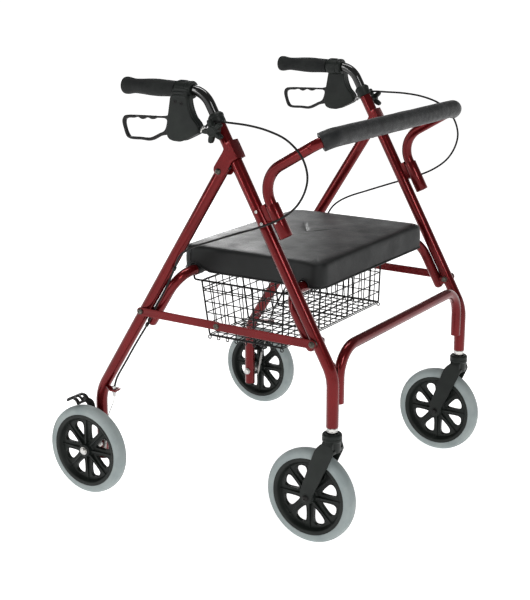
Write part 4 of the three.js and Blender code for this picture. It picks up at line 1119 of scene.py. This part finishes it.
def skirt_height(x, y, low, half):
    """The lower edge of the pad's skirt: its sides rise over both bars and over the rear bar's way in."""
    if abs(x) < half - 24:
        return low
    height = low
    for bar in (SEAT_BAR_FRONT, SEAT_BAR_REAR):
        if abs(y - bar[0]) < NOTCH_R:
            height = max(height, bar[1] + math.sqrt(NOTCH_R ** 2 - (y - bar[0]) ** 2) + 0.2)
    for (ya, za), (yb, zb) in zip(SKIRT_WAY, SKIRT_WAY[1:]):
        if ya <= y <= yb:
            height = max(height, za + (zb - za) * (y - ya) / (yb - ya))
    return height


def pad_form(edge, low, high, half):
    """The pad as one skin: a recess for the board, a skirt round it, upright sides and a crowned top."""
    bm = bmesh.new()
    middle = (PAD_LOW.y + PAD_HIGH.y) / 2 / MM
    side = high - 12
    profile = [(10.2, None, 532.4), (10, 0.55, side), (10, 0.14, side), (9, 0.02, side), (7, 0, side),
               (2.4, 0, side),
               (0.7, 0.03, side), (0, 0.09, side), (0, 0.25, side), (-0.3, 0.45, side), (-0.3, 0.65, side),
               (0, 0.85, side), (0, 1, side), (0.2, 1, side + 4), (0.9, 1, side + 7), (2.4, 1, side + 9.2),
               (4.8, 1, side + 10.6), (8, 1, side + 11.4), (13, 1, side + 11.8), (20, 1, side + 12)]
    rings = []
    for inset, share, top in profile:
        ring = []
        for x, y, nx, ny in edge:
            start = skirt_height(x, y, low, half)
            z = top if share is None or share == 1 else start + (top - start) * share
            ring.append(bm.verts.new((x + nx * inset, y + ny * inset, z)))
        rings.append(ring)
    for k in range(1, 20):
        scale = 1 - k / 20
        rings.append([bm.verts.new((v.co.x * scale, middle + (v.co.y - middle) * scale, v.co.z))
                      for v in rings[len(profile) - 1]])
    for a, b in zip(rings, rings[1:]):
        bridge(bm, a, b)
    bm.faces.new(rings[0][::-1])
    bm.faces.new(rings[-1])
    return bm


def swell(obj, pinned_below, pressure, cap):
    """Blows a closed skin up like filled vinyl, then holds every point within cap of its start."""
    scene = bpy.context.scene
    rest = [v.co.copy() for v in obj.data.vertices]
    held = obj.vertex_groups.new(name="held")
    held.add([v.index for v in obj.data.vertices if v.co.z < pinned_below], 1.0, "REPLACE")
    cloth = obj.modifiers.new("cloth", "CLOTH")
    settings = cloth.settings
    settings.quality = 5
    settings.tension_stiffness = settings.compression_stiffness = 18
    settings.bending_stiffness = 1.5
    settings.use_pressure = True
    settings.uniform_pressure_force = pressure
    settings.vertex_group_mass = held.name
    settings.effector_weights.gravity = 0
    for step in range(1, 21):
        scene.frame_set(step)
    evaluated = obj.evaluated_get(bpy.context.evaluated_depsgraph_get())
    moved = [v.co.copy() for v in evaluated.data.vertices]
    obj.modifiers.remove(cloth)
    shifts = [end - start for start, end in zip(rest, moved)]
    near = [[] for _ in rest]
    for edge in obj.data.edges:
        a, b = edge.vertices
        near[a].append(b)
        near[b].append(a)
    for _ in range(SWELL_EVENING):  # evens out the creases that follow the mesh and not the cover
        shifts = [(shift + sum((shifts[k] for k in ring), Vector())) / (len(ring) + 1)
                  for shift, ring in zip(shifts, near)]
    for vertex, start, shift in zip(obj.data.vertices, rest, shifts):
        if shift.length > cap:
            shift = shift * (cap / shift.length)
        vertex.co = start + shift
    scene.frame_set(1)


def make_seat():
    low, high = PAD_LOW / MM, PAD_HIGH / MM
    x0, x1, y0, y1 = low.x + PAD_INSET, high.x - PAD_INSET, low.y + PAD_INSET, high.y - PAD_INSET
    edge = pad_edge(x0, x1, y0, y1)
    pad = piece("seat_cushion", pad_form(edge, low.z + 3, high.z - 0.5, x1), VINYL, None, smooth=180)
    swell(pad, high.z * MM - 0.02, 3.0, 0.002)
    cx, cy, hx, hy = (x0 + x1) / 2, (y0 + y1) / 2, (x1 - x0) / 2, (y1 - y0) / 2
    for v in pad.data.vertices:
        x, y, z = v.co / MM
        across, along = min(1, abs(x - cx) / hx), min(1, abs(y - cy) / hy)
        rise = max(0.0, min(1.0, (z - high.z + 6) / 5))
        crown = 3.5 * (1 - across ** 3) * (1 - along ** 3)
        sag = noise.noise(Vector((x, y, 0)) * 0.011) * 1.0 * (1 - max(across, along) ** 4)
        z += rise * (crown + sag)
        if z < high.z - 8:  # the sides are not quite flat: slight pulls in the cover
            drift = noise.noise(Vector((x, y, z * 2.2)) * 0.018) * 0.9
            corner = max(0.0, min(across, along) - 0.86) / 0.14  # gathered folds down the corners
            fold = 0.8 * corner * math.sin(math.atan2(y - cy, x - cx) * 90) * min(1, (high.z - 8 - z) / 12)
            if across > 0.9:
                x += (drift + fold) * (1 if x > cx else -1)
            if along > 0.9:
                y += (drift + fold) * (1 if y > cy else -1)
        v.co = Vector((x, y, z)) * MM
    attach(pad, "seat")
    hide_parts("seat_pad")

    bm = bmesh.new()  # sewn welt round the skirt's lower edge
    line = []
    for x, y, nx, ny in edge:
        z = skirt_height(x, y, low.z + 3, x1) + 2.6
        line.append(Vector((x - nx * 0.2, y - ny * 0.2, z + 0.4 * noise.noise(Vector((x, y, 3)) * 0.02))))
    sweep(bm, line, 1.7, 10, closed=True)
    piece("seat_welt", bm, VINYL, "seat", smooth=60)

    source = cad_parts["seat_board"]
    bm = bmesh.new()
    bm.from_mesh(source.data)
    bmesh.ops.scale(bm, vec=(1 / MM,) * 3, verts=bm.verts)
    bmesh.ops.remove_doubles(bm, verts=bm.verts, dist=0.01)
    bmesh.ops.dissolve_limit(bm, angle_limit=0.02, verts=bm.verts, edges=bm.edges)
    sharp = [e for e in bm.edges if len(e.link_faces) == 2 and e.calc_face_angle() > 0.9]
    bmesh.ops.bevel(bm, geom=sharp, offset=0.7, segments=2, profile=0.5, affect="EDGES", clamp_overlap=True)
    for x in (-150, 0, 150):
        for y in (-150, 40):
            dome(bm, Vector((x, y, 522.6)), Vector((0, 0, -1)), 4.2, 2.0)
    piece("seat_base", bm, PLASTIC, "seat", ["seat_board"], 30)


# Basket -------------------------------------------------------------------------------------------
def make_basket():
    bm = bmesh.new()
    thin, heavy, rim_wire = 1.25, 2.0, 2.2
    half = BASKET_HALF - 1
    front, rear, rim, floor = BASKET_FRONT, BASKET_REAR, BASKET_RIM - 1, BASKET_FLOOR + 1
    section = [(front, rim), (front + 4, floor), (rear - 19, floor), (rear, rim)]

    def side_y(z):
        """The front and rear walls' places at that height."""
        share = (rim - z) / (rim - floor)
        return front + 4 * share, rear - 19 * share

    columns = 17
    for i in range(columns + 1):
        x = -half + 2 * half * i / columns
        points = bent([at(x, p) for p in section], 5, 30)
        sweep(bm, points, heavy if i in (0, 6, 11, columns) else thin, 8, lip=0.3)
    rows = 5
    for k in range(1, rows + 1):
        z = rim - (rim - floor) * k / rows
        y_front, y_rear = side_y(z)
        loop = corner_outline(-half, half, y_front, y_rear, 6, 3)
        sweep(bm, [Vector((x, y, z + 1.8)) for x, y in loop], thin, 8, closed=True)
    lanes = 8
    for k in range(lanes + 1):
        share = k / lanes
        low_y = front + 4 + (rear - 19 - front - 4) * share
        top_y = front + (rear - front) * share
        points = [Vector((-half, top_y, rim)), Vector((-half, low_y, floor - 1.8)),
                  Vector((half, low_y, floor - 1.8)),
                  Vector((half, top_y, rim))]
        sweep(bm, bent(points, 5, 30), heavy if k == 3 else thin, 8, lip=0.3)
        for s in (-1, 1):  # the wires' ends are curled round the lower edge
            ring = [Vector((s * half, low_y + 3.6 * math.cos(a), floor - 4.6 + 3.6 * math.sin(a)))
                    for a in (2 * math.pi * j / 12 for j in range(12))]
            sweep(bm, ring, thin, 6, closed=True)
    outline = corner_outline(-half, half, front, rear, 8, 4)
    sweep(bm, [Vector((x, y, rim)) for x, y in outline], rim_wire, 10, closed=True)
    sweep(bm, [Vector((x, y, rim - 17)) for x, y in outline], thin, 8, closed=True)
    y, z = SEAT_BAR_FRONT
    for s in (-1, 1):
        reach = 13.4
        hook = [at(s * half, (y + reach * math.cos(a), z + reach * math.sin(a)))
                for a in (math.radians(200 - 10 * k) for k in range(28))]
        run = [at(s * half, p) for p in ((front, rim), (rear, rim), (SEAT_BAR_REAR[0] + 14.6, rim),
                                         (SEAT_BAR_REAR[0] + 14.6, SEAT_BAR_REAR[1] + 4))]
        sweep(bm, hook + spline([hook[-1], at(s * half, (front - 26, rim + 2.4)),
                                 at(s * half, (front, rim))], 4)[1:],
              rim_wire, 10, lip=0.5)
        sweep(bm, bent(run, 5, 15), rim_wire, 10, lip=0.5)
    piece("basket_wires", bm, WIRE, "basket", ["basket"], 60)


make_camera()
make_cables()
make_studio()
make_front_frame()
make_seat_tubes()
make_rear_frame()
make_links()
make_wheels()
make_casters()
make_back_bar()
make_handles()
make_seat()
make_basket()
